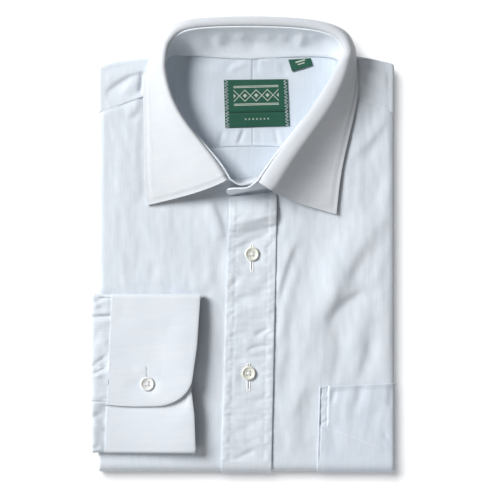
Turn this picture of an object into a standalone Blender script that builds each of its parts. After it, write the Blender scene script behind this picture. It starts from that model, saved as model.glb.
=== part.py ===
"""A long sleeve dress shirt, folded flat and lying on its folded-up tail.

Lengths below are in millimetres, and are made metres where a mesh takes its points. X runs across the
folded shirt, Y from the bottom fold to the collar, Z up. The origin is at the middle of the underside.

The cloth is folded once across the bottom: the upper half lies on the lower half, and the fronts run
over the top, round the bottom fold and back along the underside. A place on that stack is given by
"across", the distance from the middle measured over the side fold, by "along", the distance measured
over the bottom fold, and by "lift", the height above the cloth's outer side.
"""

from math import atan2, cos, exp, hypot, pi, radians, sin

import bmesh
import bpy
from mathutils import Vector

METRES = 0.001
UP = Vector((0, 0, 1))

# The folded stack
STACK_HEIGHT = 18.0
BODY_LEFT = -116.2
BODY_RIGHT = 120.3
FOOT_Y = -172.2
HEM_Y = 126.0
TURN_RADIUS = STACK_HEIGHT / 2
HALF_SPACE = 0.6
SIDE_RADIUS = 4.35
SIDE_TURN = radians(170)
SIDE_STEPS = 5
CENTRE_FRONT = 4.0
# y from which the top of the stack slopes on to its shoulder edge
SLOPE_Y = 100.0

# The hem's end of the hidden layers: slots between its layers
HEM_SLOT_LEVELS = (3.8, 6.0)
HEM_SLOT = 0.8
HEM_SLOT_DEPTH = 9.0

# Cloth and seams
GAP = 0.3
SPARE = 0.5
FRONT_WALL = 1.5
INSIDE_WALL = 1.2
STAND_WALL = 1.6
LEAF_WALL = 1.6
PLACKET_WALL = 1.2
POCKET_WALL = 1.0
CUFF_WALL = 1.6
SLEEVE_WALL = 1.2
LABEL_WALL = 1.0

# Inside the neck
NECK_FLOOR = 11.0
NECK_SPREAD = 6.0
YOKE_TOP = NECK_FLOOR + GAP + INSIDE_WALL

# The shoulder edge, and the seams between the fronts and the yoke: x, y
SHOULDER_LINE = (
    (-117, 142.4), (-105, 146.2), (-74, 150.7), (0, 150.2), (86, 151.7), (102, 149.0), (121, 144.6),
)
YOKE_SEAM = (
    (-117, 105.4), (-105, 109.6), (-79, 119.0), (-50, 122.0), (60, 122.0), (92, 118.0), (121, 107.0),
)

# Collar, round from the right point to the left one. Columns: the roll's top x, y, z; the neck seam's
# x, y, z; the leaf's edge x, y, z
COLLAR = (
    (-11.6, 52.2, 43.0, -10.2, 51.3, 19.2, -76.0, 31.9, 21.2),
    (-21.1, 66.8, 43.0, -23.8, 63.1, 17.0, -78.0, 51.9, 20.8),
    (-44.9, 96.5, 41.5, -50.1, 91.8, 17.0, -78.6, 93.4, 20.4),
    (-56.0, 114.8, 41.0, -60.5, 111.8, 17.0, -79.6, 118.9, 20.2),
    (-62.3, 132.2, 40.5, -64.5, 130.2, 16.6, -78.8, 136.5, 20.0),
    (-63.9, 146.5, 40.0, -63.0, 144.9, 15.0, -74.5, 150.5, 17.8),
    (-59.6, 163.0, 39.0, -57.5, 150.6, 13.4, -65.5, 165.2, 9.0),
    (-42.6, 172.4, 38.0, -41.5, 151.7, 13.0, -44.8, 178.6, 3.4),
    (1.0, 173.6, 38.0, -0.6, 149.3, 12.9, 1.0, 181.9, 2.0),
    (48.6, 172.0, 38.0, 45.1, 151.0, 13.0, 50.8, 179.6, 3.4),
    (73.1, 166.9, 39.0, 69.9, 150.2, 13.4, 78.1, 170.2, 8.0),
    (81.4, 155.6, 40.0, 78.6, 144.9, 15.0, 88.7, 156.3, 15.0),
    (77.8, 144.9, 40.5, 80.9, 131.8, 16.6, 90.8, 140.3, 20.0),
    (68.3, 127.4, 41.0, 76.9, 113.4, 17.0, 91.2, 122.1, 20.2),
    (54.9, 107.6, 41.5, 66.5, 93.4, 17.0, 88.0, 103.8, 20.4),
    (25.6, 68.8, 43.0, 32.2, 59.1, 17.0, 78.4, 59.9, 20.8),
    (12.9, 50.2, 43.4, 18.4, 45.7, 19.4, 74.0, 24.3, 21.2),
)
LEAF_STEPS = 2
STAND_STEPS = 2
ROLL_RADIUS = 2.0
LEAF_BULGE = radians(12)

# The stand past the leaf's ends. Columns: the top's x, y, z; the neck seam's x, y, z
UNDER_END = (
    (11.6, 51.6, 33.0, 11.2, 54.4, 24.0),
    (9.7, 50.4, 37.5, 9.8, 54.8, 19.0),
    (-2.4, 47.6, 39.0, -3.0, 52.7, 18.4),
)
OVER_END = (
    (3.0, 45.6, 39.2, 3.0, 43.1, 19.6),
    (-7.0, 44.9, 38.6, -7.0, 40.9, 19.8),
    (-12.0, 44.4, 36.0, -12.0, 40.6, 21.0),
    (-13.6, 43.6, 31.5, -13.4, 42.0, 26.0),
)

# Folds in the fronts. Columns: x, y at one end; x, y at the other; half width; height (a trough's is under 0)
FRONT_SWELL = 0.9
FRONT_FOLDS = (
    (40.2, -0.8, 27.4, -44.0, 5.0, -0.8),
    (101.0, 16.8, 57.8, -44.0, 10.0, 1.1),
    (97.0, -4.8, 66.6, -65.6, 8.0, -1.3),
    (92.2, -40.0, 75.0, -48.4, 6.0, 0.9),
    (70.6, -68.8, 69.8, -104.8, 6.0, -0.9),
    (52.2, -104.8, 43.9, -138.0, 6.0, 0.8),
    (-68.6, -2.0, -66.0, -30.0, 6.0, -0.7),
    (-42.5, 6.0, -46.0, -80.0, 8.0, -0.6),
)
YOKE_SWELL = 0.5
YOKE_FOLDS = (
    (-112.0, 121.7, -76.0, 136.8, 5.0, 1.0),
    (92.0, 132.0, 108.0, 127.0, 5.0, 0.9),
)

# Placket, pocket and labels
PLACKET_TOP = (-11.8, 26.4)
PLACKET_FOOT = (-17.8, 22.2)
POCKET_TOP_Y = (-113.0, -110.4)
POCKET_EDGE_X = (60.5, 58.7)
LABEL_CORNERS = ((-15.9, 132.2), (34.9, 132.8), (36.7, 95.2), (-14.7, 93.8))
LABEL_FOLD = 1.3
TAB_CORNERS = ((35.6, 148.4), (53.6, 149.6), (55.4, 143.8), (38.6, 138.8))

# Buttons: the usual 18 ligne front button
BUTTON_DIAMETER = 11.4
BUTTON_HEIGHT = 2.6
BUTTON_HOLE = 1.7
BUTTON_HOLE_SPREAD = 2.6
BUTTON_SIDES = 24
PLACKET_BUTTONS = ((6.6, -7.2), (3.9, -102.4))
CUFF_BUTTON = (-76.8, -110.6)

# Cuff: the y of its folds and ends, the height of its three layers, and its hand edge as y, x
CUFF_TOP_Y = -38.8
CUFF_FOOT_Y = -166.0
CUFF_LAP_Y = -126.8
CUFF_UNDERLAP_Y = -98.0
CUFF_LAYERS = (20.0, 22.6, 25.2)
CUFF_SEAM_X = (-105.1, -110.9)
CUFF_CORNER = (22.0, 20.0)
CUFF_OVER_EDGE = ((-38.0, -34.4), (-79.6, -37.2), (-104.8, -40.6), (-127.0, -44.0))
CUFF_BACK_EDGE = ((-38.0, -34.0), (-83.0, -33.9), (-135.0, -36.0), (-166.0, -37.6))
CUFF_UNDER_EDGE = ((-98.0, -42.6), (-114.0, -42.0), (-135.0, -39.4), (-166.0, -38.2))

# Sleeve: its outer side from the cuff to the groove between the halves. Columns: x, z, thickness there
SLEEVE_RUN = (
    (-105.9, 25.4, 6.0),
    (-111.0, 24.6, 5.8),
    (-115.9, 22.0, 4.8),
    (-119.0, 18.0, 3.8),
    (-120.1, 13.4, 3.6),
    (-119.5, 10.2, 3.0),
    (-117.6, 8.9, 2.8),
)
SLEEVE_SEAM = 0.8
SLEEVE_PLEATS = ((-57.0, 1.0, 4.0), (-66.0, 0.7, 4.0), (-98.0, 0.6, 3.0))
GAUNTLET_Y = (-124.0, -97.0)

CLOTH_COLOUR = (0.66, 0.74, 0.86)
INSIDE_COLOUR = (0.55, 0.62, 0.74)
LABEL_COLOUR = (0.02, 0.10, 0.06)
BUTTON_COLOUR = (0.80, 0.80, 0.74)


# ---------------------------------------------------------------- scene, materials and meshes


def clear_scene():
    for thing in list(bpy.data.objects):
        bpy.data.objects.remove(thing, do_unlink=True)


def make_material(name, colour, roughness, metallic=0.0):
    material = bpy.data.materials.new(name)
    material.use_nodes = True
    shader = material.node_tree.nodes["Principled BSDF"]
    shader.inputs["Base Color"].default_value = (*colour, 1)
    shader.inputs["Roughness"].default_value = roughness
    shader.inputs["Metallic"].default_value = metallic
    material.diffuse_color = (*colour, 1)
    return material


def add_object(name, mesh, material):
    """One closed piece, with its faces pointing out and soft edges shaded smooth."""
    bmesh.ops.recalc_face_normals(mesh, faces=mesh.faces)
    if mesh.calc_volume(signed=True) < 0:
        bmesh.ops.reverse_faces(mesh, faces=mesh.faces)
    data = bpy.data.meshes.new(name)
    mesh.to_mesh(data)
    mesh.free()
    data.materials.append(material)
    data.shade_smooth()
    data.set_sharp_from_angle(angle=radians(40))
    piece = bpy.data.objects.new(name, data)
    bpy.context.scene.collection.objects.link(piece)
    return piece


def make_wall(name, columns, rows, outer, inner, material):
    """A wall of cloth: a grid laid on its outer side, then extruded through to its inner side."""
    mesh = bmesh.new()
    bmesh.ops.create_grid(mesh, x_segments=columns, y_segments=rows, size=1)
    number = mesh.verts.layers.int.new("number")
    for index, vertex in enumerate(mesh.verts):
        vertex[number] = index
    width = columns + 1
    through = bmesh.ops.extrude_face_region(mesh, geom=mesh.faces[:])["geom"]
    inside = {part for part in through if isinstance(part, bmesh.types.BMVert)}
    for vertex in mesh.verts:
        side = inner if vertex in inside else outer
        vertex.co = side(vertex[number] % width, vertex[number] // width) * METRES
    return add_object(name, mesh, material)


def make_lofts(name, solids, material):
    """Solids through closed rings that have the same number of points, each with a face on both ends."""
    mesh = bmesh.new()
    for rings in solids:
        loops = [[mesh.verts.new(point * METRES) for point in ring] for ring in rings]
        count = len(loops[0])
        for lower, upper in zip(loops, loops[1:]):
            for i in range(count):
                j = (i + 1) % count
                mesh.faces.new((lower[i], lower[j], upper[j], upper[i]))
        mesh.faces.new(loops[0])
        mesh.faces.new(loops[-1])
    return add_object(name, mesh, material)


def make_tube(name, outer_rings, inner_rings, material):
    """A tube through rings, open at both ends, with a wall between its outer and inner rings."""
    mesh = bmesh.new()
    outer = [[mesh.verts.new(point * METRES) for point in ring] for ring in outer_rings]
    inner = [[mesh.verts.new(point * METRES) for point in ring] for ring in inner_rings]
    count = len(outer[0])
    strips = [*zip(outer, outer[1:]), *zip(inner, inner[1:]), (outer[0], inner[0]), (outer[-1], inner[-1])]
    for first, second in strips:
        for i in range(count):
            j = (i + 1) % count
            mesh.faces.new((first[i], first[j], second[j], second[i]))
    return add_object(name, mesh, material)


def cut_from(piece, cutter):
    """Takes the cutter's shape out of the piece."""
    cutter.hide_render = True
    cutter.display_type = "WIRE"
    modifier = piece.modifiers.new("cut_" + cutter.name, "BOOLEAN")
    modifier.operation = "DIFFERENCE"
    modifier.solver = "EXACT"
    modifier.object = cutter


# ---------------------------------------------------------------- tables and curves


def read_off(table, x):
    """The second column where the first is x, straight between rows."""
    rows = sorted(table)
    for (x0, y0), (x1, y1) in zip(rows, rows[1:]):
        if x <= x1:
            return y0 + (y1 - y0) * max(0.0, (x - x0) / (x1 - x0))
    return rows[-1][1]


def between(first, last, steps):
    return [first + (last - first) * i / steps for i in range(steps + 1)]


def smooth_rows(rows, steps):
    """Rows of a table with smooth ones put between them, on a Catmull-Rom curve through each column."""
    ends = [rows[0], *rows, rows[-1]]
    found = []
    for a, b, c, d in zip(ends, ends[1:], ends[2:], ends[3:]):
        for i in range(steps):
            t = i / steps
            found.append(tuple(
                q + t / 2 * (r - p + t * (2 * p - 5 * q + 4 * r - s + t * (3 * q - p - 3 * r + s)))
                for p, q, r, s in zip(a, b, c, d)
            ))
    return found + [tuple(rows[-1])]


def fold_height(folds, x, y):
    """Height of a panel's soft folds over its swell."""
    height = 0.0
    for x0, y0, x1, y1, spread, rise in folds:
        long_x, long_y = x1 - x0, y1 - y0
        t = ((x - x0) * long_x + (y - y0) * long_y) / (long_x**2 + long_y**2)
        t = min(1.0, max(0.0, t))
        distance = hypot(x - x0 - t * long_x, y - y0 - t * long_y)
        height += rise * exp(-((distance / spread) ** 2))
    return height


def fade(x, zero_at, full_at):
    """From 0 at one place to 1 at the other, with a soft start and end."""
    t = min(1.0, max(0.0, (x - zero_at) / (full_at - zero_at)))
    return t * t * (3 - 2 * t)


# ---------------------------------------------------------------- the folded stack


def edge_of(across):
    return BODY_RIGHT if across > 0 else -BODY_LEFT


def over_side(across, lift):
    """x and depth of a place over the side fold."""
    side = 1 if across > 0 else -1
    flat = edge_of(across) - SIDE_RADIUS
    turn = (abs(across) - flat) / SIDE_RADIUS
    if turn <= 0:
        return across, -lift
    reach = SIDE_RADIUS + lift
    return side * (flat + reach * sin(turn)), SIDE_RADIUS - reach * cos(turn)


def side_end(side):
    """How far across the cloth goes before it is lost between the halves."""
    return side * (edge_of(side) + SIDE_RADIUS * (SIDE_TURN - 1))


def stack_point(across, along, lift):
    """The point of a place on the stack, from the shoulder over the bottom fold to the hem."""
    x, depth = over_side(across, lift)
    turn = (FOOT_Y - along) / TURN_RADIUS
    if turn <= 0:
        return Vector((x, along, STACK_HEIGHT - depth))
    if turn < pi:
        reach = TURN_RADIUS - depth
        return Vector((x, FOOT_Y - reach * sin(turn), TURN_RADIUS + reach * cos(turn)))
    return Vector((x, FOOT_Y + (turn - pi) * TURN_RADIUS, depth))


# Places along the bottom fold, and the rows of the fronts between the neck and it
TURN_STEPS = 8
WRAP_STEPS = 6
TURN_ROWS = [FOOT_Y - TURN_RADIUS * angle for angle in between(0, pi, TURN_STEPS)]
LOWER_ROWS = [*between(30.0, FOOT_Y + 14, 12), *TURN_ROWS]
WRAP_ROWS = LOWER_ROWS[: WRAP_STEPS - TURN_STEPS]


def front_lift(across, along):
    """Height of the fronts' folds. They fade out at the edges, and under what lies on the fronts."""
    side = 1 if across > 0 else -1
    clear_of_placket = fade(across, 26, 36) if side > 0 else fade(across, -18, -30)
    height = FRONT_SWELL + fold_height(FRONT_FOLDS, across, along) * clear_of_placket
    height = max(0.0, height) * fade(abs(across), edge_of(across) - 3, edge_of(across) - 22)
    height *= fade(along, FOOT_Y + 2, FOOT_Y + 24) * fade(along, 52, 30)
    if side < 0:
        return height * max(fade(across, -34, -22), fade(along, CUFF_TOP_Y + 2, CUFF_TOP_Y + 16))
    return height * max(fade(across, 56, 46), fade(along, POCKET_TOP_Y[0] + 8, POCKET_TOP_Y[0] + 28))


# ---------------------------------------------------------------- core


def core_ring(squash, full, y_at):
    """A ring of the hidden layers: a slab with round sides. squash rounds it off towards the shoulder end.

    full says that its under side swells out to meet the other half of the stack.
    """
    inner_radius = SIDE_RADIUS - FRONT_WALL - GAP
    belly = TURN_RADIUS - HALF_SPACE if full else SIDE_RADIUS + inner_radius
    ring = []
    for side in (1, -1):
        flat = edge_of(side) - SIDE_RADIUS
        turns = [radians(angle) for angle in (0, 36, 72, 108, 144, 180)]
        arc = [(side * (flat + inner_radius * squash * sin(t)), -inner_radius * cos(t)) for t in turns]
        arc.append((side * (flat - 2.0), belly - SIDE_RADIUS))
        ring += arc if side > 0 else arc[::-1]
        if side > 0:
            ring.append((5.0, belly - SIDE_RADIUS))
    ring += [(x, -inner_radius) for x in (-105.0, -90.0, -74.0, -40.0, 0.0, 50.0, 86.0, 102.0)]
    return [y_at(x, SIDE_RADIUS + height * squash) for x, height in ring]


def make_core(material):
    """The hidden layers: the back, the far sleeve and the side folds, turned at the bottom fold."""
    rings = []

    def shoulder_end(x):
        return read_off(SHOULDER_LINE, x) - SIDE_RADIUS - SPARE

    for angle in (76, 56, 32):
        bulge = (SIDE_RADIUS - FRONT_WALL - GAP) * sin(radians(angle))

        def end_point(x, depth, bulge=bulge):
            return Vector((x, shoulder_end(x) + bulge, STACK_HEIGHT - depth))

        rings.append(core_ring(cos(radians(angle)), False, end_point))
    for share, full in ((1.0, False), (0.96, True), (0.0, True)):

        def top_point(x, depth, share=share):
            y = SLOPE_Y + (shoulder_end(x) - SLOPE_Y) * share
            return Vector((x, y, STACK_HEIGHT - depth))

        rings.append(core_ring(1.0, full, top_point))
    hem = FOOT_Y - pi * TURN_RADIUS - (HEM_Y - 1.0 - FOOT_Y)
    for along in [0.0, *TURN_ROWS, hem]:
        turn = min(pi, max(0.0, (FOOT_Y - along) / TURN_RADIUS))

        def path_point(x, depth, along=along, turn=turn):
            reach = TURN_RADIUS - depth
            if turn <= 0:
                return Vector((x, along, STACK_HEIGHT - depth))
            past = max(0.0, FOOT_Y - pi * TURN_RADIUS - along)
            return Vector((x, FOOT_Y - reach * sin(turn) + past, TURN_RADIUS + reach * cos(turn)))

        rings.append(core_ring(1.0, True, path_point))
    core = make_lofts("folded_layers", [rings], material)
    outline = neck_outline(NECK_SPREAD)
    neck = [[Vector((x, y, z)) for x, y in outline] for z in (NECK_FLOOR, 2 * STACK_HEIGHT)]
    wide, near, far = 130.0, HEM_Y - HEM_SLOT_DEPTH, HEM_Y + HEM_SLOT_DEPTH
    corners = ((-wide, near), (wide, near), (wide, far), (-wide, far))
    slots = [
        [[Vector((x, y, z)) for x, y in corners] for z in (level - HEM_SLOT / 2, level + HEM_SLOT / 2)]
        for level in HEM_SLOT_LEVELS
    ]
    cut_from(core, make_lofts("hollows_cutter", [neck, *slots], material))
    return core


# ---------------------------------------------------------------- neck edges

SEAM_ROWS = smooth_rows([row[3:5] for row in COLLAR], 4)


def seam_x(side, y):
    """x of the neck seam at this y, on the right front (side -1) or the left front (side 1)."""
    rows = [(py, px) for px, py in SEAM_ROWS if px * side > 0 and py < 149.5 and abs(px) > 9]
    return read_off(rows, y)


HOLLOW_LEVELS = (56.0, 66.0, 78.0, 92.0, 112.0, 130.0, 143.0)


def neck_outline(spread):
    """The hollow of the neck, as x, y, spread sideways under the fronts. It runs past the shoulder edge."""
    left = [(seam_x(-1, y) - spread, y) for y in HOLLOW_LEVELS]
    right = [(seam_x(1, y) + spread, y) for y in HOLLOW_LEVELS]
    foot = [(-12.0, 46.0), (18.0, 42.0)]
    top = [(right[-1][0], 170.0), (left[-1][0], 170.0)]
    return foot + right + top + left[::-1]


NECK_EDGE = 2.4
# y levels of the fronts above the centre front point
NECK_LEVELS = (112.0, 104.0, 96.0, 88.0, 80.0, 72.0, 64.0, 57.0)
TOP_LEVEL = NECK_LEVELS[0] + 6
# y over which the fronts' rows draw together towards the yoke seam
DRAWN_Y = 90.0


def front_edge_x(side, y):
    """The fronts' inner edge: at the neck seam above, and at the centre front below."""
    if side < 0:
        return seam_x(-1, y) - NECK_EDGE if y > 51 else CENTRE_FRONT - GAP
    return seam_x(1, y) + NECK_EDGE if y > 45.5 else CENTRE_FRONT


def front_rows():
    underside = FOOT_Y - pi * TURN_RADIUS - (HEM_Y - FOOT_Y)
    return [None, *NECK_LEVELS, 51.5, 48.0, 44.5, *LOWER_ROWS, underside]


def make_front(name, side, flat_columns, material):
    """A front panel: from the neck and yoke seam over the side fold, and round the bottom fold."""
    rows = front_rows()
    arc_columns = SIDE_STEPS
    flat_end = side * (edge_of(side) - SIDE_RADIUS)

    def place(column, row):
        along = rows[row]
        height = TOP_LEVEL if along is None else along
        start = front_edge_x(side, height)
        if column <= flat_columns:
            across = start + (flat_end - start) * column / flat_columns
        else:
            across = flat_end + (side_end(side) - flat_end) * (column - flat_columns) / arc_columns
        if along is None:
            along = read_off(YOKE_SEAM, across) - GAP
        elif along > DRAWN_Y:
            # the upper rows draw together where the yoke seam runs down to the side
            top = read_off(YOKE_SEAM, across) - GAP
            along = DRAWN_Y + (along - DRAWN_Y) * (top - DRAWN_Y) / (TOP_LEVEL + 2 - DRAWN_Y)
        return across, along

    def outer(column, row):
        across, along = place(column, row)
        return stack_point(across, along, front_lift(across, along))

    def inner(column, row):
        across, along = place(column, row)
        return stack_point(across, along, front_lift(across, along) - FRONT_WALL)

    return make_wall(name, flat_columns + arc_columns, len(rows) - 1, outer, inner, material)


# ---------------------------------------------------------------- yoke


def shoulder_point(across, share, turn, lift):
    """A place on the yoke: share runs from the yoke seam to the shoulder's round, turn goes over it."""
    x, depth = over_side(across, lift)
    start = read_off(YOKE_SEAM, x) + GAP
    end = read_off(SHOULDER_LINE, x) - SIDE_RADIUS
    y = start + (end - start) * share
    if turn <= 0:
        return Vector((x, y, STACK_HEIGHT - depth))
    out = SIDE_RADIUS - depth
    return Vector((x, end + out * sin(turn), STACK_HEIGHT - SIDE_RADIUS + out * cos(turn)))


def make_shoulder(name, side, material):
    """A shoulder end of the yoke, over the side fold and over the shoulder edge."""
    rows = [(share, 0.0) for share in between(0, 1, 5)]
    rows += [(1.0, radians(angle)) for angle in (24, 50, 76, 104, 132, 160)]
    flat_columns, arc_columns = 6, SIDE_STEPS
    flat_end = side * (edge_of(side) - SIDE_RADIUS)

    def place(column, row):
        share, turn = rows[row]
        guess = shoulder_point(side * 80, share, turn, 0).y
        start = seam_x(side, min(guess, 143)) + side * NECK_EDGE
        if column <= flat_columns:
            return start + (flat_end - start) * column / flat_columns, share, turn
        # near the shoulder edge the side fold opens to a quarter turn, which closes the corner
        last_turn = SIDE_TURN + (pi / 2 - SIDE_TURN) * fade(share, 0.55, 1.0)
        reach = SIDE_RADIUS * last_turn * (column - flat_columns) / arc_columns
        return flat_end + side * reach, share, turn

    def lift_at(across, share, turn):
        y = shoulder_point(across, share, 0, 0).y
        height = YOKE_SWELL + fold_height(YOKE_FOLDS, across, y)
        height *= fade(abs(across), edge_of(across) - 2, edge_of(across) - 16)
        return height * fade(share, 0.0, 0.3) * fade(share, 1.0, 0.7) * (turn <= 0)

    def outer(column, row):
        spot = place(column, row)
        return shoulder_point(*spot, lift_at(*spot))

    def inner(column, row):
        spot = place(column, row)
        return shoulder_point(*spot, lift_at(*spot) - FRONT_WALL)

    return make_wall(name, flat_columns + arc_columns, len(rows) - 1, outer, inner, material)


# ---------------------------------------------------------------- inside the neck

YOKE_BACK_Y = HOLLOW_LEVELS[2]
CENTRE_SEAM_X = 6.9
# How far the inside panels run under the fronts' edges: y, x
INSIDE_RIM = ((48.0, 1.0), (56.0, NECK_SPREAD - 0.6), (130.0, NECK_SPREAD - 0.6), (142.0, 1.6))


def make_neck_panel(name, left_edge, right_edge, levels, material):
    """A flat panel on the floor of the neck, between two edges given as functions of y."""

    def place(column, row, z):
        y = levels[row]
        left, right = left_edge(y), right_edge(y)
        return Vector((left + (right - left) * column / 4, y, z))

    return make_wall(
        name, 4, len(levels) - 1,
        lambda column, row: place(column, row, YOKE_TOP),
        lambda column, row: place(column, row, YOKE_TOP - INSIDE_WALL),
        material,
    )


def make_inside(material):
    """The yoke's two halves with the seam between them, and the back under them."""
    yoke_levels = (YOKE_BACK_Y + GAP, *HOLLOW_LEVELS[3:], 149.0)
    back_levels = (48.0, *HOLLOW_LEVELS[:3])

    def outer_edge(side):
        return lambda y: seam_x(side, min(y, HOLLOW_LEVELS[-1])) + side * read_off(INSIDE_RIM, y)

    def centre_edge(side):
        return lambda y: CENTRE_SEAM_X + side * GAP / 2

    make_neck_panel("right_yoke_inside", outer_edge(-1), centre_edge(-1), yoke_levels, material)
    make_neck_panel("left_yoke_inside", centre_edge(1), outer_edge(1), yoke_levels, material)
    make_neck_panel("back_inside", outer_edge(-1), outer_edge(1), back_levels, material)


def make_tag(name, corners, rise, lowest, material):
    """A woven label, four corners given from its upper left, with a soft swell across it."""
    columns, rows = 6, 4
    a, b, c, d = (Vector((*corner, 0)) for corner in corners)

    def place(column, row, z):
        s, t = column / columns, row / rows
        flat = d.lerp(c, s).lerp(a.lerp(b, s), t)
        return flat + UP * (z + rise * sin(pi * s) * sin(pi * t))

    return make_wall(
        name, columns, rows,
        lambda column, row: place(column, row, lowest + LABEL_WALL),
        lambda column, row: place(column, row, lowest),
        material,
    )


# ---------------------------------------------------------------- collar


def leaf_profile(row):
    """Centre line of the leaf in its own upright plane, and what places that plane."""
    roll, edge = Vector(row[0:3]), Vector(row[6:9])
    flat = Vector((edge.x - roll.x, edge.y - roll.y, 0))
    out = flat.normalized()
    centre = roll - UP * (ROLL_RADIUS + LEAF_WALL / 2)
    fall = atan2(centre.z - edge.z, flat.length) + LEAF_BULGE
    last = pi / 2 - fall
    line = []
    for angle in between(pi, last, 4):
        line.append((ROLL_RADIUS * cos(angle), ROLL_RADIUS * sin(angle)))
    line.insert(0, (-ROLL_RADIUS, -0.8))
    start = Vector(line[-1])
    end = Vector((flat.length, edge.z - centre.z))
    span = (end - start).length
    first = start + Vector((cos(fall), -sin(fall))) * span * 0.33
    land = fall - 2 * LEAF_BULGE
    second = end - Vector((cos(land), -sin(land))) * span * 0.33
    for i in range(1, 6):
        t = i / 5
        u = 1 - t
        line.append(tuple(start * u**3 + first * 3 * t * u**2 + second * 3 * t**2 * u + end * t**3))
    return centre, out, line


def offset_line(line, distance):
    """The line moved to its left by a distance."""
    moved = []
    for i, (h, z) in enumerate(line):
        before, after = line[max(0, i - 1)], line[min(len(line) - 1, i + 1)]
        run, rise = after[0] - before[0], after[1] - before[1]
        size = hypot(run, rise)
        moved.append((h - rise / size * distance, z + run / size * distance))
    return moved


def make_leaf(material):
    stations = [leaf_profile(row) for row in smooth_rows(COLLAR, LEAF_STEPS)]

    def side(distance):
        lines = [(centre, out, offset_line(line, distance)) for centre, out, line in stations]

        def point(column, row):
            centre, out, line = lines[row]
            h, z = line[column]
            return centre + out * h + UP * z

        return point

    columns = len(stations[0][2]) - 1
    half = LEAF_WALL / 2
    return make_wall("collar_leaf", columns, len(stations) - 1, side(half), side(-half), material)


def stand_row(row):
    """Top and foot of the stand where it carries the leaf."""
    centre, out, line = leaf_profile(row)
    top = centre - out * ROLL_RADIUS - UP * (0.8 + GAP)
    return (*top, *row[3:6])


def make_stand(material):
    carrying = [stand_row(row) for row in smooth_rows(COLLAR, LEAF_STEPS)]
    under = smooth_rows([*UNDER_END, carrying[0]], STAND_STEPS)
    over = smooth_rows([carrying[-1], *OVER_END], STAND_STEPS)
    stations = under[:-1] + carrying + over[1:]
    tops = [Vector(row[0:3]) for row in stations]
    feet = [Vector(row[3:6]) for row in stations]
    levels = 3

    def side(distance):
        def point(column, row):
            before, after = max(0, row - 1), min(len(stations) - 1, row + 1)
            run = tops[after] + feet[after] - tops[before] - feet[before]
            return feet[row].lerp(tops[row], column / levels) + run.cross(UP).normalized() * distance

        return point

    half = STAND_WALL / 2
    return make_wall("collar_stand", levels, len(stations) - 1, side(half), side(-half), material)


# ---------------------------------------------------------------- placket and pocket


def make_placket(material):
    """The buttonhole band: over the centre front, and round the bottom fold."""
    rows = [None, *WRAP_ROWS]
    columns = 6

    def place(column, row):
        along = rows[row]
        s = column / columns
        down = 0.0 if along is None else (WRAP_ROWS[0] - max(along, FOOT_Y)) / (WRAP_ROWS[0] - FOOT_Y)
        left = PLACKET_TOP[0] + (PLACKET_FOOT[0] - PLACKET_TOP[0]) * down
        right = PLACKET_TOP[1] + (PLACKET_FOOT[1] - PLACKET_TOP[1]) * down
        across = left + (right - left) * s
        return across, (38.2 + 4.6 * s) if along is None else along

    def point(column, row, lift):
        across, along = place(column, row)
        return stack_point(across, along, front_lift(across, along) + GAP + lift)

    return make_wall(
        "front_placket", columns, len(rows) - 1,
        lambda column, row: point(column, row, PLACKET_WALL),
        lambda column, row: point(column, row, 0),
        material,
    )


def make_pocket(material):
    """The pocket: from its top edge round the bottom fold, and over the side fold."""
    rows = [None, *(row for row in WRAP_ROWS if row < POCKET_TOP_Y[0] - 5)]
    flat_columns, arc_columns = 6, SIDE_STEPS - 1
    flat_end = edge_of(1) - SIDE_RADIUS

    def place(column, row):
        along = rows[row]
        down = 0.0 if along is None else (max(along, FOOT_Y) - POCKET_TOP_Y[0]) / (FOOT_Y - POCKET_TOP_Y[0])
        start = POCKET_EDGE_X[0] + (POCKET_EDGE_X[1] - POCKET_EDGE_X[0]) * down
        if column <= flat_columns:
            across = start + (flat_end - start) * column / flat_columns
        else:
            across = flat_end + (side_end(1) - flat_end) * (column - flat_columns) / SIDE_STEPS
        if along is None:
            share = min(1.0, (across - start) / (flat_end - start))
            along = POCKET_TOP_Y[0] + (POCKET_TOP_Y[1] - POCKET_TOP_Y[0]) * share
        return across, along

    def point(column, row, lift):
        across, along = place(column, row)
        return stack_point(across, along, front_lift(across, along) + GAP + lift)

    return make_wall(
        "chest_pocket", flat_columns + arc_columns, len(rows) - 1,
        lambda column, row: point(column, row, POCKET_WALL),
        lambda column, row: point(column, row, 0),
        material,
    )


# ---------------------------------------------------------------- cuff and sleeve


def cuff_line():
    """Centre line of the cuff's strip: y, z and the hand edge's x, from the underlap to the lap."""
    low, middle, high = CUFF_LAYERS
    half = CUFF_WALL / 2
    line = []
    foot_radius = (middle - low) / 2
    foot_centre = CUFF_FOOT_Y + half + foot_radius
    top_radius = (high - low) / 2
    top_centre = CUFF_TOP_Y - half - top_radius
    for y in between(CUFF_UNDERLAP_Y, foot_centre, 4):
        line.append((y, middle, read_off(CUFF_UNDER_EDGE, y)))
    for angle in (45, 90, 135):
        turn = radians(angle)
        y = foot_centre - foot_radius * sin(turn)
        line.append((y, (low + middle) / 2 + foot_radius * cos(turn), read_off(CUFF_BACK_EDGE, y)))
    for y in between(foot_centre, top_centre, 4):
        line.append((y, low, read_off(CUFF_BACK_EDGE, y)))
    for angle in (36, 72, 108, 144):
        turn = radians(angle)
        y = top_centre + top_radius * sin(turn)
        line.append((y, (low + high) / 2 - top_radius * cos(turn), read_off(CUFF_OVER_EDGE, y)))
    corner_x, corner_y = CUFF_CORNER
    for y in between(top_centre, CUFF_LAP_Y + corner_y, 4):
        line.append((y, high, read_off(CUFF_OVER_EDGE, y)))
    for angle in (22, 42, 60, 76, 90):
        turn = radians(angle)
        y = CUFF_LAP_Y + corner_y * (1 - sin(turn))
        line.append((y, high, read_off(CUFF_OVER_EDGE, y) - corner_x * (1 - cos(turn))))
    return line


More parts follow.
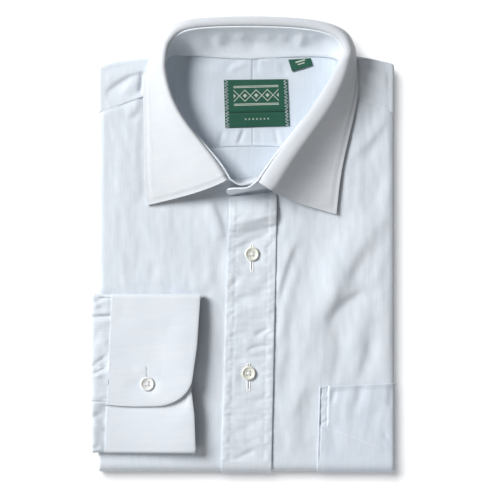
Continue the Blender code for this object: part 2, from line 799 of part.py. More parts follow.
def make_cuff(material):
    line = cuff_line()
    centre = [(y, z) for y, z, edge in line]
    columns = 5

    def side(distance):
        moved = offset_line(centre, distance)

        def point(column, row):
            left = cuff_seam_x(moved[row][0])
            x = left + (line[row][2] - left) * column / columns
            return Vector((x, *moved[row]))

        return point

    half = CUFF_WALL / 2
    return make_wall("cuff", columns, len(line) - 1, side(half), side(-half), material)


def sleeve_frames():
    """Outer point, inward direction and thickness along the sleeve's run."""
    rows = smooth_rows(SLEEVE_RUN, 2)
    frames = []
    for i, (x, z, thickness) in enumerate(rows):
        before, after = rows[max(0, i - 1)], rows[min(len(rows) - 1, i + 1)]
        run = Vector((after[0] - before[0], 0, after[1] - before[1])).normalized()
        frames.append((Vector((x, 0, z)), Vector((-run.z, 0, run.x)), thickness))
    return frames


def pleat_rise(y):
    return sum(rise * exp(-(((y - at) / spread) ** 2)) for at, rise, spread in SLEEVE_PLEATS)


def cuff_seam_x(y):
    return read_off(((CUFF_FOOT_Y, CUFF_SEAM_X[1]), (CUFF_TOP_Y, CUFF_SEAM_X[0])), y)


def on_sleeve(frame, y, depth):
    """A point of the sleeve under its outer side. Its upper end follows the cuff's slanted seam."""
    outer, inward, thickness = frame
    point = outer + inward * depth + Vector((0, y, 0))
    fixed = SLEEVE_RUN[3][0]
    if point.x > fixed:
        stretch = (cuff_seam_x(y) - SLEEVE_SEAM - fixed) / (SLEEVE_RUN[0][0] - fixed)
        point.x = fixed + (point.x - fixed) * stretch
    return point


def sleeve_ring(frame, shrink, y_scale):
    """A flattened ring across the sleeve. shrink takes it in by a wall's thickness."""
    thickness = frame[2]
    top, foot = CUFF_TOP_Y - 0.4, CUFF_FOOT_Y + 0.4
    half = thickness / 2 - shrink
    ring = []
    low, high = foot + shrink + half, top - shrink - half
    for y in between(high, low, 12):
        lift = pleat_rise(y) * y_scale * fade(y, foot, foot + 12) * fade(y, top, top - 8)
        ring.append(on_sleeve(frame, y, shrink - lift))
    for angle in (45, 90, 135):
        turn = radians(angle)
        ring.append(on_sleeve(frame, low - half * sin(turn), thickness / 2 - half * cos(turn)))
    for y in between(low, high, 4):
        ring.append(on_sleeve(frame, y, thickness - shrink))
    for angle in (135, 90, 45):
        turn = radians(angle)
        ring.append(on_sleeve(frame, high + half * sin(turn), thickness / 2 - half * cos(turn)))
    return ring


def make_sleeve(material):
    frames = sleeve_frames()
    last = len(frames) - 1
    swell = [1 - 0.8 * i / last for i in range(last + 1)]
    outer = [sleeve_ring(frame, 0.0, size) for frame, size in zip(frames, swell)]
    inner = [sleeve_ring(frame, SLEEVE_WALL, size) for frame, size in zip(frames, swell)]
    return make_tube("sleeve", outer, inner, material)


def make_gauntlet(material):
    """The strip that binds the sleeve's slit, laid on the sleeve's outer side."""
    frames = sleeve_frames()[:-3]
    last = len(sleeve_frames()) - 1
    foot, top = CUFF_FOOT_Y + 0.4, CUFF_TOP_Y - 0.4
    columns = 4

    def point(column, row, lift):
        y = GAUNTLET_Y[0] + (GAUNTLET_Y[1] - GAUNTLET_Y[0]) * column / columns
        rise = pleat_rise(y) * (1 - 0.8 * row / last) * fade(y, foot, foot + 12) * fade(y, top, top - 8)
        return on_sleeve(frames[row], y, -(rise + GAP + lift))

    return make_wall(
        "sleeve_placket", columns, len(frames) - 1,
        lambda column, row: point(column, row, 1.0),
        lambda column, row: point(column, row, 0),
        material,
    )


# ---------------------------------------------------------------- buttons


def make_button(name, x, y, z, material):
    """A four-hole button: a turned disc with a raised rim and a dished middle."""
    radius = BUTTON_DIAMETER / 2
    height = BUTTON_HEIGHT
    profile = (
        (radius - 1.6, 0.0), (radius - 0.2, 0.6), (radius, height - 0.8), (radius - 0.5, height),
        (radius - 1.4, height), (radius - 2.2, height - 0.9),
    )
    turns = [2 * pi * i / BUTTON_SIDES for i in range(BUTTON_SIDES)]
    rings = [[Vector((x + r * cos(t), y + r * sin(t), z + h)) for t in turns] for r, h in profile]
    button = make_lofts(name, [rings], material)
    for number, (side, ahead) in enumerate(((1, 1), (-1, 1), (-1, -1), (1, -1))):
        offset = BUTTON_HOLE_SPREAD / 2
        hole = bmesh.new()
        hole_radius = BUTTON_HOLE / 2 * METRES
        bmesh.ops.create_cone(
            hole, cap_ends=True, segments=8, radius1=hole_radius, radius2=hole_radius,
            depth=4 * BUTTON_HEIGHT * METRES,
        )
        place = Vector((x + side * offset, y + ahead * offset, z)) * METRES
        bmesh.ops.translate(hole, verts=hole.verts, vec=place)
        cut_from(button, add_object(f"{name}_hole_{number}", hole, material))
    return button


# ---------------------------------------------------------------- the shirt


def main():
    clear_scene()
    cloth = make_material("shirt_cloth", CLOTH_COLOUR, 0.85)
    inside = make_material("shirt_cloth_inside", INSIDE_COLOUR, 0.9)
    woven = make_material("woven_label", LABEL_COLOUR, 0.7)
    shell = make_material("button_shell", BUTTON_COLOUR, 0.3)

    make_core(inside)
    make_front("right_front", -1, 7, cloth)
    make_front("left_front", 1, 11, cloth)
    make_shoulder("right_shoulder_yoke", -1, cloth)
    make_shoulder("left_shoulder_yoke", 1, cloth)
    make_inside(inside)
    make_tag("neck_label", LABEL_CORNERS, LABEL_FOLD, YOKE_TOP + GAP, woven)
    make_tag("size_tab", TAB_CORNERS, 0.2, YOKE_TOP + GAP, woven)
    make_leaf(cloth)
    make_stand(cloth)
    make_placket(cloth)
    make_pocket(cloth)
    make_sleeve(cloth)
    make_gauntlet(cloth)
    make_cuff(cloth)
    for number, (x, y) in enumerate(PLACKET_BUTTONS, start=1):
        lift = front_lift(x, y) + GAP + PLACKET_WALL + GAP
        make_button(f"placket_button_{number}", x, y, STACK_HEIGHT + lift, shell)
    make_button("cuff_button", *CUFF_BUTTON, CUFF_LAYERS[2] + CUFF_WALL / 2 + GAP, shell)


main()
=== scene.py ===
# %% [markdown]
# # A long sleeve dress shirt, folded flat
#
# The shirt lies on its folded-up tail, the way a shop folds it: both sides and sleeves are turned behind,
# the lower half is turned up behind the upper half, and one cuff is brought round to the front.
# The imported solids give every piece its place. This script lays finer cloth over the same forms, and adds
# what solids can't carry: creases, rows of stitching, buttonholes, threads, weave and light.

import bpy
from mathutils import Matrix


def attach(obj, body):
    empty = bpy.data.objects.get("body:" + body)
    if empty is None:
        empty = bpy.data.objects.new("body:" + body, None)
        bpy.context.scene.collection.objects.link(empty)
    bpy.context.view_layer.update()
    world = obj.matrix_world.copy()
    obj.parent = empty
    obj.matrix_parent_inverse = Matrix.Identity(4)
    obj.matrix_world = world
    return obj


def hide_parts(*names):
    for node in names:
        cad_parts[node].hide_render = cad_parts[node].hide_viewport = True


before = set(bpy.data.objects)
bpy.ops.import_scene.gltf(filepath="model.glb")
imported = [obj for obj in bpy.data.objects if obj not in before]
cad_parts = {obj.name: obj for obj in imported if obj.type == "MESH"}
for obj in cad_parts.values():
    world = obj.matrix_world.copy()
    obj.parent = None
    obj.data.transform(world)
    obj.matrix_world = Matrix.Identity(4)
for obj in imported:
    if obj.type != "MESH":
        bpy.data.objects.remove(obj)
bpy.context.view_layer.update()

# %% [markdown]
# ## Camera, floor and light
#
# A folded shirt is shown from straight above. A long lens from far up keeps the collar, which stands more
# than twice as high as the stack, from spreading outwards. The light is a big soft window at the upper left, low
# enough for its rays to graze the cloth, because only grazing light shows creases in pale cloth. The pale
# floor has a steeper light of its own, so that it stays white with a tight shadow beside the folds.

# %% Camera
import bmesh
import bpy
import numpy as np
from math import atan2, cos, pi, radians, sin, tan
from mathutils import Matrix, Vector, noise

MM = 0.001
CAMERA_HEIGHT = 2515.0
CAMERA_PLACE = (5.0, -4.0)
VIEW_WIDTH = 400.0
SENSOR = 36.0
FOCUS_HEIGHT = 15.0

scene = bpy.context.scene
camera_data = bpy.data.cameras.new("camera")
camera = bpy.data.objects.new("camera", camera_data)
scene.collection.objects.link(camera)
camera.location = Vector((*CAMERA_PLACE, CAMERA_HEIGHT)) * MM
camera_data.sensor_width = SENSOR
camera_data.lens = SENSOR * (CAMERA_HEIGHT - FOCUS_HEIGHT) / VIEW_WIDTH
camera_data.clip_end = 10
scene.camera = camera
scene.view_settings.view_transform = "Standard"
print("lens", round(camera_data.lens, 1), "mm")

# %% Floor and world
FLOOR_SIZE = 3000.0
FLOOR_DROP = 0.1


def new_shader(name, **values):
    """A new material, its node tree and its shader. values are the shader's plain values, _ for a space."""
    material = bpy.data.materials.new(name)
    material.use_nodes = True
    shader = material.node_tree.nodes["Principled BSDF"]
    for label, value in values.items():
        shader.inputs[label.replace("_", " ")].default_value = value
    return material, material.node_tree, shader


floor_mesh = bmesh.new()
bmesh.ops.create_grid(floor_mesh, x_segments=1, y_segments=1, size=FLOOR_SIZE / 2 * MM)
bmesh.ops.translate(floor_mesh, verts=floor_mesh.verts, vec=(0, 0, -FLOOR_DROP * MM))
floor_data = bpy.data.meshes.new("floor")
floor_mesh.to_mesh(floor_data)
floor_mesh.free()
floor = bpy.data.objects.new("floor", floor_data)
scene.collection.objects.link(floor)
paper = new_shader("white_paper", Base_Color=(0.9, 0.9, 0.9, 1), Roughness=0.9, Specular_IOR_Level=0.1)
floor_data.materials.append(paper[0])

world = bpy.data.worlds.new("room")
world.use_nodes = True
air = world.node_tree.nodes["Background"]
air.inputs["Color"].default_value = (0.93, 0.96, 1.0, 1)
air.inputs["Strength"].default_value = 0.13
scene.world = world
print("floor", floor_data.polygons[0].area, "m2")

# %% Lights
WINDOW_FAR = 4.5


def add_lamp(light, azimuth, elevation, far):
    """Puts a light this far away on the side that it comes from, and turns it to the shirt."""
    a, e = radians(azimuth), radians(elevation)
    towards = Vector((cos(a) * cos(e), sin(a) * cos(e), sin(e)))
    lamp = bpy.data.objects.new(light.name, light)
    scene.collection.objects.link(lamp)
    lamp.location = towards * far
    lamp.rotation_euler = towards.to_track_quat("Z", "Y").to_euler()
    return lamp


def add_window(name, strength, softness, azimuth, elevation):
    """A round soft light near enough for the side next to it to be a little brighter."""
    light = bpy.data.lights.new(name, "AREA")
    light.shape = "DISK"
    light.size = 2 * WINDOW_FAR * tan(radians(softness / 2))
    light.energy = strength * pi * WINDOW_FAR**2
    return add_lamp(light, azimuth, elevation, WINDOW_FAR)


def add_sun(name, strength, softness, azimuth, elevation, colour=(1, 1, 1)):
    """A far soft light. azimuth is the side that it comes from, in degrees from +X towards +Y."""
    light = bpy.data.lights.new(name, "SUN")
    light.energy = strength
    light.angle = radians(softness)
    light.color = colour
    return add_lamp(light, azimuth, elevation, 1.0)


window = add_window("window", 4.08, 30, 152, 36)
reflector = add_sun("reflector", 0.54, 40, 235, 40)
warm_wall = add_sun("warm_wall", 0.18, 60, 345, 20, (1.0, 0.9, 0.8))
floor_window = add_sun("floor_window", 3.1, 34, 128, 58)
floor_fill = add_sun("floor_fill", 0.85, 40, 310, 86)
neck_window = add_sun("neck_window", 3.3, 20, 149, 43)

# %% [markdown]
# ## A way to lay cloth
#
# Every panel is one sheet: a grid, as an unfolded piece of cloth is, laid over its form by a rule that
# says where each place on the cloth goes. Modelling a panel by pulling a flat plane about by hand would
# also work, but a rule keeps the panel the same width all the way round a fold. The sheet remembers how
# far each of its points is from its four edges, so a crease, a pressed edge or a row of stitches can be
# put in at its real distance from the edge.

# %% Tables and curves
def read_off(table, x):
    """The second column where the first is x, straight between rows."""
    rows = sorted(table)
    return float(np.interp(x, [row[0] for row in rows], [row[1] for row in rows]))


def levels(*stops, step):
    """Numbers from each stop to the next, no further apart than the step, which may be one for each stretch."""
    steps = step if isinstance(step, tuple) else [step] * (len(stops) - 1)
    found = [stops[0]]
    for first, last, size in zip(stops, stops[1:], steps):
        count = max(1, int(np.ceil(abs(last - first) / size)))
        found += list(np.linspace(first, last, count + 1)[1:])
    return found


def smooth_rows(rows, steps):
    """Rows of a table with smooth ones put between them, on a Catmull-Rom curve through each column."""
    ends = [rows[0], *rows, rows[-1]]
    found = []
    for a, b, c, d in zip(ends, ends[1:], ends[2:], ends[3:]):
        for i in range(steps):
            t = i / steps
            found.append(tuple(
                q + t / 2 * (r - p + t * (2 * p - 5 * q + 4 * r - s + t * (3 * q - p - 3 * r + s)))
                for p, q, r, s in zip(a, b, c, d)
            ))
    return found + [tuple(rows[-1])]


def fade(x, zero_at, full_at):
    """From 0 at one place to 1 at the other, with a soft start and end."""
    t = np.clip((np.asarray(x, float) - zero_at) / (full_at - zero_at), 0, 1)
    return t * t * (3 - 2 * t)


def within(x, low, low_full, high_full, high):
    """1 between the two inner places, fading to 0 at the two outer ones."""
    return fade(x, low, low_full) * fade(x, high, high_full)


def between(ends, share):
    """A number at this share of the way from the first to the second."""
    return ends[0] + (ends[1] - ends[0]) * share


def stretched(y, start, end, new_end):
    """A place past the start, moved in proportion so that the end comes to the new end."""
    return start + (y - start) * (new_end - start) / (end - start)


print("levels", levels(0, 10, step=4))

# %% Sheets
class Sheet:
    """A grid of points on cloth, in millimetres, with its normals and its distance from its edges."""

    def __init__(self, across, along, place, flip=False):
        self.shape = (len(along), len(across))
        self.a, self.b = np.meshgrid(np.array(across, float), np.array(along, float))
        spots = [place(a, b) for b in along for a in across]
        self.points = np.array([tuple(spot) for spot in spots]).reshape(*self.shape, 3)
        self.flip = flip
        self.measure()

    def measure(self):
        """Normals, distances from the four edges, and places on the flat cloth for its weave."""
        p = self.points
        to_right = np.gradient(p, axis=1)
        to_top = np.gradient(p, axis=0)
        normal = np.cross(to_right, to_top) * (-1 if self.flip else 1)
        self.normals = normal / np.maximum(np.linalg.norm(normal, axis=-1, keepdims=True), 1e-9)
        over = np.linalg.norm(np.diff(p, axis=1), axis=-1)
        up = np.linalg.norm(np.diff(p, axis=0), axis=-1)
        self.left = np.concatenate([np.zeros((self.shape[0], 1)), np.cumsum(over, axis=1)], axis=1)
        self.right = self.left[:, -1:] - self.left
        self.foot = np.concatenate([np.zeros((1, self.shape[1])), np.cumsum(up, axis=0)], axis=0)
        self.top = self.foot[-1:, :] - self.foot
        self.flat = np.stack([self.left, self.foot], axis=-1)

    def lift(self, height):
        """Moves the points out along their normals."""
        self.points = self.points + self.normals * np.asarray(height)[..., None]
        self.measure()

    def area(self):
        """In square millimetres, of one side."""
        p = self.points
        a = np.linalg.norm(np.cross(p[:-1, 1:] - p[:-1, :-1], p[1:, :-1] - p[:-1, :-1]), axis=-1)
        b = np.linalg.norm(np.cross(p[1:, :-1] - p[1:, 1:], p[:-1, 1:] - p[1:, 1:]), axis=-1)
        return float((a.sum() + b.sum()) / 2)


def x_of(sheet):
    return sheet.points[..., 0]


def y_of(sheet):
    return sheet.points[..., 1]


print("a sheet keeps its points, normals and edge distances")

# %% [markdown]
# ## Creases
#
# Cotton that has been pressed and then handled has three kinds of crease: long soft folds where the panel
# is slack, short sharp nicks where a fold ends, and a fine pucker beside every row of stitches, where the
# thread is a little shorter than the cloth. A short fold is a row of a table: a line over the cloth, its
# half width, its height, and how sharp its crest is. A long fold follows a bent line and is steeper on one
# side than on the other, as a fold is that has slumped. A trough has a height under zero.

# %% Folds, ripples and pucker
def folds_over(x, y, table):
    """Height of the folds at each place. Columns: x, y at one end; x, y at the other; half width; height; crest.

    The crest is 2 for a soft fold and 1 for one with a sharp line along it.
    """
    height = np.zeros_like(x)
    for x0, y0, x1, y1, spread, rise, crest in table:
        long_x, long_y = x1 - x0, y1 - y0
        t = ((x - x0) * long_x + (y - y0) * long_y) / (long_x**2 + long_y**2)
        inside = np.clip(t, 0, 1)
        off = np.hypot(x - x0 - inside * long_x, y - y0 - inside * long_y)
        ends = 1 - np.abs(2 * inside - 1) ** 4
        height += rise * (0.25 + 0.75 * ends) * np.exp(-((off / spread) ** crest))
    return height


def slumped(x, y, table):
    """Height of long folds. Columns: the points of the fold's line, drawn down the cloth; its half width on
    the line's left and on its right; its height; its crest."""
    total = np.zeros_like(x)
    for points, left, right, rise, crest in table:
        line = np.array(smooth_rows([tuple(map(float, point)) for point in points], 4))
        runs = np.diff(line, axis=0)
        sizes = np.linalg.norm(runs, axis=1)
        done = np.concatenate([[0.0], np.cumsum(sizes)])
        near, share, lean = np.full(x.shape, 1e9), np.zeros_like(x), np.zeros_like(x)
        for start, run, size, before in zip(line, runs, sizes, done):
            off_x, off_y = x - start[0], y - start[1]
            t = np.clip((off_x * run[0] + off_y * run[1]) / size**2, 0, 1)
            off = np.hypot(off_x - t * run[0], off_y - t * run[1])
            closer = off < near
            near = np.where(closer, off, near)
            share = np.where(closer, (before + t * size) / done[-1], share)
            lean = np.where(closer, (run[0] * off_y - run[1] * off_x) / (size * np.maximum(off, 1e-6)), lean)
        spread = (left + right) / 2 + (right - left) / 2 * np.clip(lean, -1, 1)
        ends = 1 - np.abs(2 * share - 1) ** 4
        total += rise * (0.2 + 0.8 * ends) * np.exp(-((near / spread) ** crest))
    return total


def ripple(x, y, size_x, size_y, seed=0.0):
    """Smooth unevenness between -1 and 1, each bump about as wide and as long as the two sizes."""
    flat = [noise.noise(Vector((a / size_x, b / size_y, seed))) for a, b in zip(x.ravel(), y.ravel())]
    return np.array(flat).reshape(x.shape) * 1.6


def bump(off, width, height):
    """A soft ridge where off is 0. With a height under zero it is the groove of a row of stitches."""
    return height * np.exp(-((off / width) ** 2))


def slit(off, half):
    """1 in a narrow opening with steep sides, where off is 0."""
    return np.exp(-((off / half) ** 4))


def pucker(off, run, reach, depth, pitch, seed=0.0):
    """Small ripples across a seam, which fade away from it. run is the distance along the seam."""
    return bump(off, reach, depth) * ripple(run, off, pitch, reach * 1.5, seed)


print("ripple at the origin", float(ripple(np.zeros(1), np.zeros(1), 10, 10)[0]))

# %% [markdown]
# ## Cloth, label and button finishes
#
# The shirt is fine plain-weave cotton: pale blue warp threads run down the shirt and white weft threads
# cross them. From a step away the single threads blur, and what is left is a soft matt surface with faint
# streaks along the warp, where a thread is a little thicker or darker. So the weave is one node group with
# the thread's pitch and the streaks' strength as inputs, read from each sheet's own UV map, which is laid
# out in metres. On a cuff or a collar the streaks then follow the cloth and not the room.

# %% The weave group
def new_group(name, inputs, outputs):
    """A shader node group with its sockets. inputs are names with values, outputs names with types."""
    group = bpy.data.node_groups.new(name, "ShaderNodeTree")
    for label, value in inputs.items():
        kind = "NodeSocketVector" if isinstance(value, tuple) else "NodeSocketFloat"
        socket = group.interface.new_socket(label, in_out="INPUT", socket_type=kind)
        socket.default_value = value
    for label, kind in outputs.items():
        group.interface.new_socket(label, in_out="OUTPUT", socket_type=kind)
    return group, group.nodes.new("NodeGroupInput"), group.nodes.new("NodeGroupOutput")


def math_node(tree, operation, *values):
    """A Math node with numbers or other nodes' outputs put into it. Returns its output."""
    node = tree.nodes.new("ShaderNodeMath")
    node.operation = operation
    for socket, value in zip(node.inputs, values):
        if isinstance(value, (int, float)):
            socket.default_value = value
        else:
            tree.links.new(value, socket)
    return node.outputs["Value"]


def band(tree, value, centre, half):
    """1 where the value is within a half width of a centre."""
    off = math_node(tree, "ABSOLUTE", math_node(tree, "SUBTRACT", value, centre))
    return math_node(tree, "LESS_THAN", off, half)


def masks(tree, *found, operation="MULTIPLY"):
    """Where all of the masks are 1, or with MAXIMUM where any is."""
    result = found[0]
    for mask in found[1:]:
        result = math_node(tree, operation, result, mask)
    return result


def noise_node(tree, vector, scale, detail=2.0, rough=0.5):
    """Smooth noise between 0 and 1, read at a vector."""
    node = tree.nodes.new("ShaderNodeTexNoise")
    node.inputs["Scale"].default_value = scale
    node.inputs["Detail"].default_value = detail
    node.inputs["Roughness"].default_value = rough
    tree.links.new(vector, node.inputs["Vector"])
    return node.outputs["Fac"]


def mix_node(tree, factor, dark, light, blend="MIX"):
    """A colour between two, each a plain colour or another node's output."""
    node = tree.nodes.new("ShaderNodeMix")
    node.data_type = "RGBA"
    node.blend_type = blend
    tree.links.new(factor, node.inputs["Factor"])
    for name, colour in (("A", dark), ("B", light)):
        if isinstance(colour, tuple):
            node.inputs[name].default_value = (*colour, 1)
        else:
            tree.links.new(colour, node.inputs[name])
    return node.outputs["Result"]


def mapping_node(tree, vector, scale):
    """A vector scaled on each of its axes."""
    node = tree.nodes.new("ShaderNodeMapping")
    node.inputs["Scale"].default_value = scale
    tree.links.new(vector, node.inputs["Vector"])
    return node.outputs["Vector"]


THREADS_PER_METRE = 2600.0
# How often each unevenness changes in a metre: across the warp, along it, and not at all
SLUB_SCALE = (1400, 45, 1)
CROSS_SCALE = (60, 1100, 1)
BROAD_SCALE = (350, 18, 1)

weave, weave_in, weave_out = new_group(
    "plain_weave",
    {"Vector": (0.0, 0.0, 0.0), "Threads": THREADS_PER_METRE, "Streaks": 1.0},
    {"Height": "NodeSocketFloat", "Streak": "NodeSocketFloat"},
)
split = weave.nodes.new("ShaderNodeSeparateXYZ")
weave.links.new(weave_in.outputs["Vector"], split.inputs["Vector"])
turn = math_node(weave, "MULTIPLY", weave_in.outputs["Threads"], 2 * pi)
warp = math_node(weave, "SINE", math_node(weave, "MULTIPLY", split.outputs["X"], turn))
weft = math_node(weave, "SINE", math_node(weave, "MULTIPLY", split.outputs["Y"], turn))
threads = math_node(weave, "MULTIPLY", warp, weft)
slub = noise_node(weave, mapping_node(weave, weave_in.outputs["Vector"], SLUB_SCALE), 1.0, 2.0)
cross = noise_node(weave, mapping_node(weave, weave_in.outputs["Vector"], CROSS_SCALE), 1.0, 2.0)
broad = noise_node(weave, mapping_node(weave, weave_in.outputs["Vector"], BROAD_SCALE), 1.0, 2.0)
height = math_node(weave, "ADD", math_node(weave, "MULTIPLY", threads, 0.5), slub)
weave.links.new(math_node(weave, "ADD", height, cross), weave_out.inputs["Height"])
streak = math_node(weave, "MULTIPLY", slub, 0.5)
streak = math_node(weave, "ADD", streak, math_node(weave, "MULTIPLY", broad, 0.35))
streak = math_node(weave, "ADD", streak, math_node(weave, "MULTIPLY", cross, 0.15))
streak = math_node(weave, "MULTIPLY", math_node(weave, "SUBTRACT", streak, 0.5), weave_in.outputs["Streaks"])
weave.links.new(math_node(weave, "ADD", streak, 0.5), weave_out.inputs["Streak"])
print("group", weave.name, "nodes", len(weave.nodes))

# %% Cloth materials
DYE_UNEVEN = (0.90, 0.945, 0.985)
# Colour and half width of a paler line painted along a pocket crease
CREST_LINE_COLOUR = (0.93, 0.95, 0.98)
CREST_LINE_HALF = 0.0003
CLOUD_SCALE = (75, 38, 1)


def lay_weave(tree, shader, uv, distance, streaks=1.0):
    """Raises the weave's threads on the shader, this many millimetres high. Returns its streaks."""
    woven = tree.nodes.new("ShaderNodeGroup")
    woven.node_tree = weave
    woven.inputs["Streaks"].default_value = streaks
    tree.links.new(uv, woven.inputs["Vector"])
    bumped = tree.nodes.new("ShaderNodeBump")
    bumped.inputs["Strength"].default_value = 0.5
    bumped.inputs["Distance"].default_value = distance * MM
    tree.links.new(woven.outputs["Height"], bumped.inputs["Height"])
    tree.links.new(bumped.outputs["Normal"], shader.inputs["Normal"])
    return woven.outputs["Streak"]


def make_cloth_material(name, dark, light, streaks=1.7):
    """Matt woven cloth. dark and light are the colours that its streaks run between."""
    material, tree, shader = new_shader(
        name, Roughness=0.85, Specular_IOR_Level=0.25, Sheen_Weight=0.12, Sheen_Roughness=0.5
    )
    uv = tree.nodes.new("ShaderNodeUVMap").outputs["UV"]
    yarn = mix_node(tree, lay_weave(tree, shader, uv, 0.05, streaks), dark, light)
    clouds = noise_node(tree, mapping_node(tree, uv, CLOUD_SCALE), 1.0, 3.0, 0.6)
    tree.links.new(mix_node(tree, clouds, yarn, DYE_UNEVEN, "MULTIPLY"), shader.inputs["Base Color"])
    return material


def add_pale_crest_line(material, start, end, strength):
    """A paler line painted along a crease. start and end are on the flat cloth, in metres."""
    tree = material.node_tree
    base = tree.nodes["Principled BSDF"].inputs["Base Color"]
    along = tree.nodes.new("ShaderNodeMapping")
    along.vector_type = "TEXTURE"
    along.inputs["Location"].default_value = (*start, 0)
    along.inputs["Rotation"].default_value = (0, 0, atan2(end[1] - start[1], end[0] - start[0]))
    tree.links.new(tree.nodes.new("ShaderNodeUVMap").outputs["UV"], along.inputs["Vector"])
    split = tree.nodes.new("ShaderNodeSeparateXYZ")
    tree.links.new(along.outputs["Vector"], split.inputs["Vector"])
    half = 0.5 * float(np.hypot(end[0] - start[0], end[1] - start[1]))
    on_length = band(tree, split.outputs["X"], half, half)
    on_width = band(tree, split.outputs["Y"], 0.0, CREST_LINE_HALF)
    marked = math_node(tree, "MULTIPLY", masks(tree, on_length, on_width), strength)
    # marked: where the paler line is painted over the cloth's colour
    tree.links.new(mix_node(tree, marked, base.links[0].from_socket, CREST_LINE_COLOUR), base)


cloth = make_cloth_material("pale_blue_cotton", (0.69, 0.735, 0.79), (0.845, 0.87, 0.90))
# The collar's fused cotton is greyer than the body's cloth, and darker as painted shade; the leaf's own lamp makes
# up for it on the lit side
collar_cloth_painted_shade = make_cloth_material("pale_blue_cotton_fused", (0.53, 0.545, 0.57), (0.63, 0.64, 0.655), streaks=1.2)
pocket_cloth = make_cloth_material("pale_blue_cotton_pocket", (0.675, 0.73, 0.805), (0.83, 0.865, 0.92))
# A lighter copy of the cotton, for the cuff and the stand: partly their thicker plies, partly painted light
cuff_cloth = make_cloth_material("pale_blue_cotton_cuff", (0.735, 0.77, 0.815), (0.85, 0.87, 0.895), streaks=1.3)
wrong_side = make_cloth_material("pale_blue_cotton_inside", (0.67, 0.725, 0.79), (0.82, 0.86, 0.905))
print("cloth materials", cloth.name, wrong_side.name)

# %% Turn a sheet into a piece
def finish_piece(name, mesh, material, nodes, crisp=50):
    """Links the finished mesh, shades it, hangs it on the root body and hides the solids that it stands for."""
    data = bpy.data.meshes.new(name)
    mesh.to_mesh(data)
    mesh.free()
    data.materials.append(material)
    data.shade_smooth()
    data.set_sharp_from_angle(angle=radians(crisp))
    piece = bpy.data.objects.new(name, data)
    scene.collection.objects.link(piece)
    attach(piece, "root")
    if nodes:
        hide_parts(*nodes)
    return piece


def make_cloth(name, sheet, wall, material, nodes, offset=-1.0, edge=0.35, weld=False):
    """Lays a grid over the sheet's points, gives it its thickness, and rounds its cut or folded edges."""
    mesh = bmesh.new()
    bmesh.ops.create_grid(mesh, x_segments=sheet.shape[1] - 1, y_segments=sheet.shape[0] - 1, size=1)
    mesh.verts.ensure_lookup_table()
    uv = mesh.loops.layers.uv.new("cloth")
    places = sheet.points.reshape(-1, 3)
    flat = sheet.flat.reshape(-1, 2)
    for vertex, place in zip(mesh.verts, places):
        vertex.co = Vector(place) * MM
    for face in mesh.faces:
        for loop in face.loops:
            loop[uv].uv = Vector(flat[loop.vert.index]) * MM
    if sheet.flip:
        bmesh.ops.reverse_faces(mesh, faces=mesh.faces[:])
    if weld:
        bmesh.ops.remove_doubles(mesh, verts=mesh.verts[:], dist=0.02 * MM)
    piece = finish_piece(name, mesh, material, nodes)
    solid = piece.modifiers.new("wall", "SOLIDIFY")
    solid.thickness = wall * MM
    solid.offset = offset
    if edge:
        rounded = piece.modifiers.new("edge", "BEVEL")
        rounded.width = edge * MM
        rounded.segments = 2
        rounded.limit_method = "ANGLE"
        rounded.angle_limit = radians(60)
    width, length = float(sheet.left[:, -1].max()), float(sheet.foot[-1].max())
    area = min(sheet.area(), width * length)
    print(f"{name}: flat {width:.0f} x {length:.0f} mm, {area / 100:.0f} cm2 of cloth")
    return piece


print("pieces so far", len(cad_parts))

# %% [markdown]
# ## The folded stack
#
# All that the camera sees of the body lies on one stack, 18 mm high: the upper half over the lower half,
# joined by the fold across the bottom. Each half has rounded side folds. A place on the stack is given by
# how far across it is, measured over the side fold, and how far along, measured over the bottom fold.
# Pressing makes the two lower corners square, so there the side fold is drawn out to the full width.

# %% Sizes of the stack
STACK_HEIGHT = 18.0
BODY_LEFT = -116.2
BODY_RIGHT = 120.3
FOOT_Y = -172.2
HEM_Y = 126.0
TURN_RADIUS = STACK_HEIGHT / 2
UNDER_Y = FOOT_Y - pi * TURN_RADIUS
SIDE_RADIUS = 4.35
SIDE_TURN = radians(170)
CENTRE_FRONT = 4.0
GAP = 0.3
FRONT_WALL = 1.2
SHOULDER_LINE = (
    (-117, 142.4), (-105, 146.2), (-74, 150.7), (0, 150.2), (86, 151.7), (102, 149.0), (121, 144.6),
)
YOKE_SEAM = (
    (-117, 105.4), (-105, 109.6), (-79, 119.0), (-50, 122.0), (60, 122.0), (92, 116.6), (105, 112.6),
    (113, 109.2), (121, 105.0),
)
CORNER_DRAW = 0.9
SIDE_SQUARE = 4.4
FOOT_SQUARE = 2.9


def pressed(turn, square):
    """Sine and cosine of a turn, on a curve squarer than a circle. A square of 2 is a circle."""
    size = (abs(sin(turn)) ** square + abs(cos(turn)) ** square) ** (1 / square)
    return sin(turn) / size, cos(turn) / size


def edge_of(side):
    """How far out the body's edge is, over its side fold."""
    return BODY_RIGHT if side > 0 else -BODY_LEFT


def flat_of(side):
    """How far out the side fold starts."""
    return edge_of(side) - SIDE_RADIUS


def over_side(across, lift=0.0):
    """x and depth of a place over the side fold."""
    side = 1 if across > 0 else -1
    flat = flat_of(side)
    turn = (abs(across) - flat) / SIDE_RADIUS
    if turn <= 0:
        return across, -lift
    reach = SIDE_RADIUS + lift
    out, up = pressed(turn, SIDE_SQUARE)
    return side * (flat + reach * out), SIDE_RADIUS - reach * up


def side_end(side):
    """How far across a front reaches, measured over its side fold."""
    return side * (edge_of(side) + SIDE_RADIUS * (SIDE_TURN - 1))


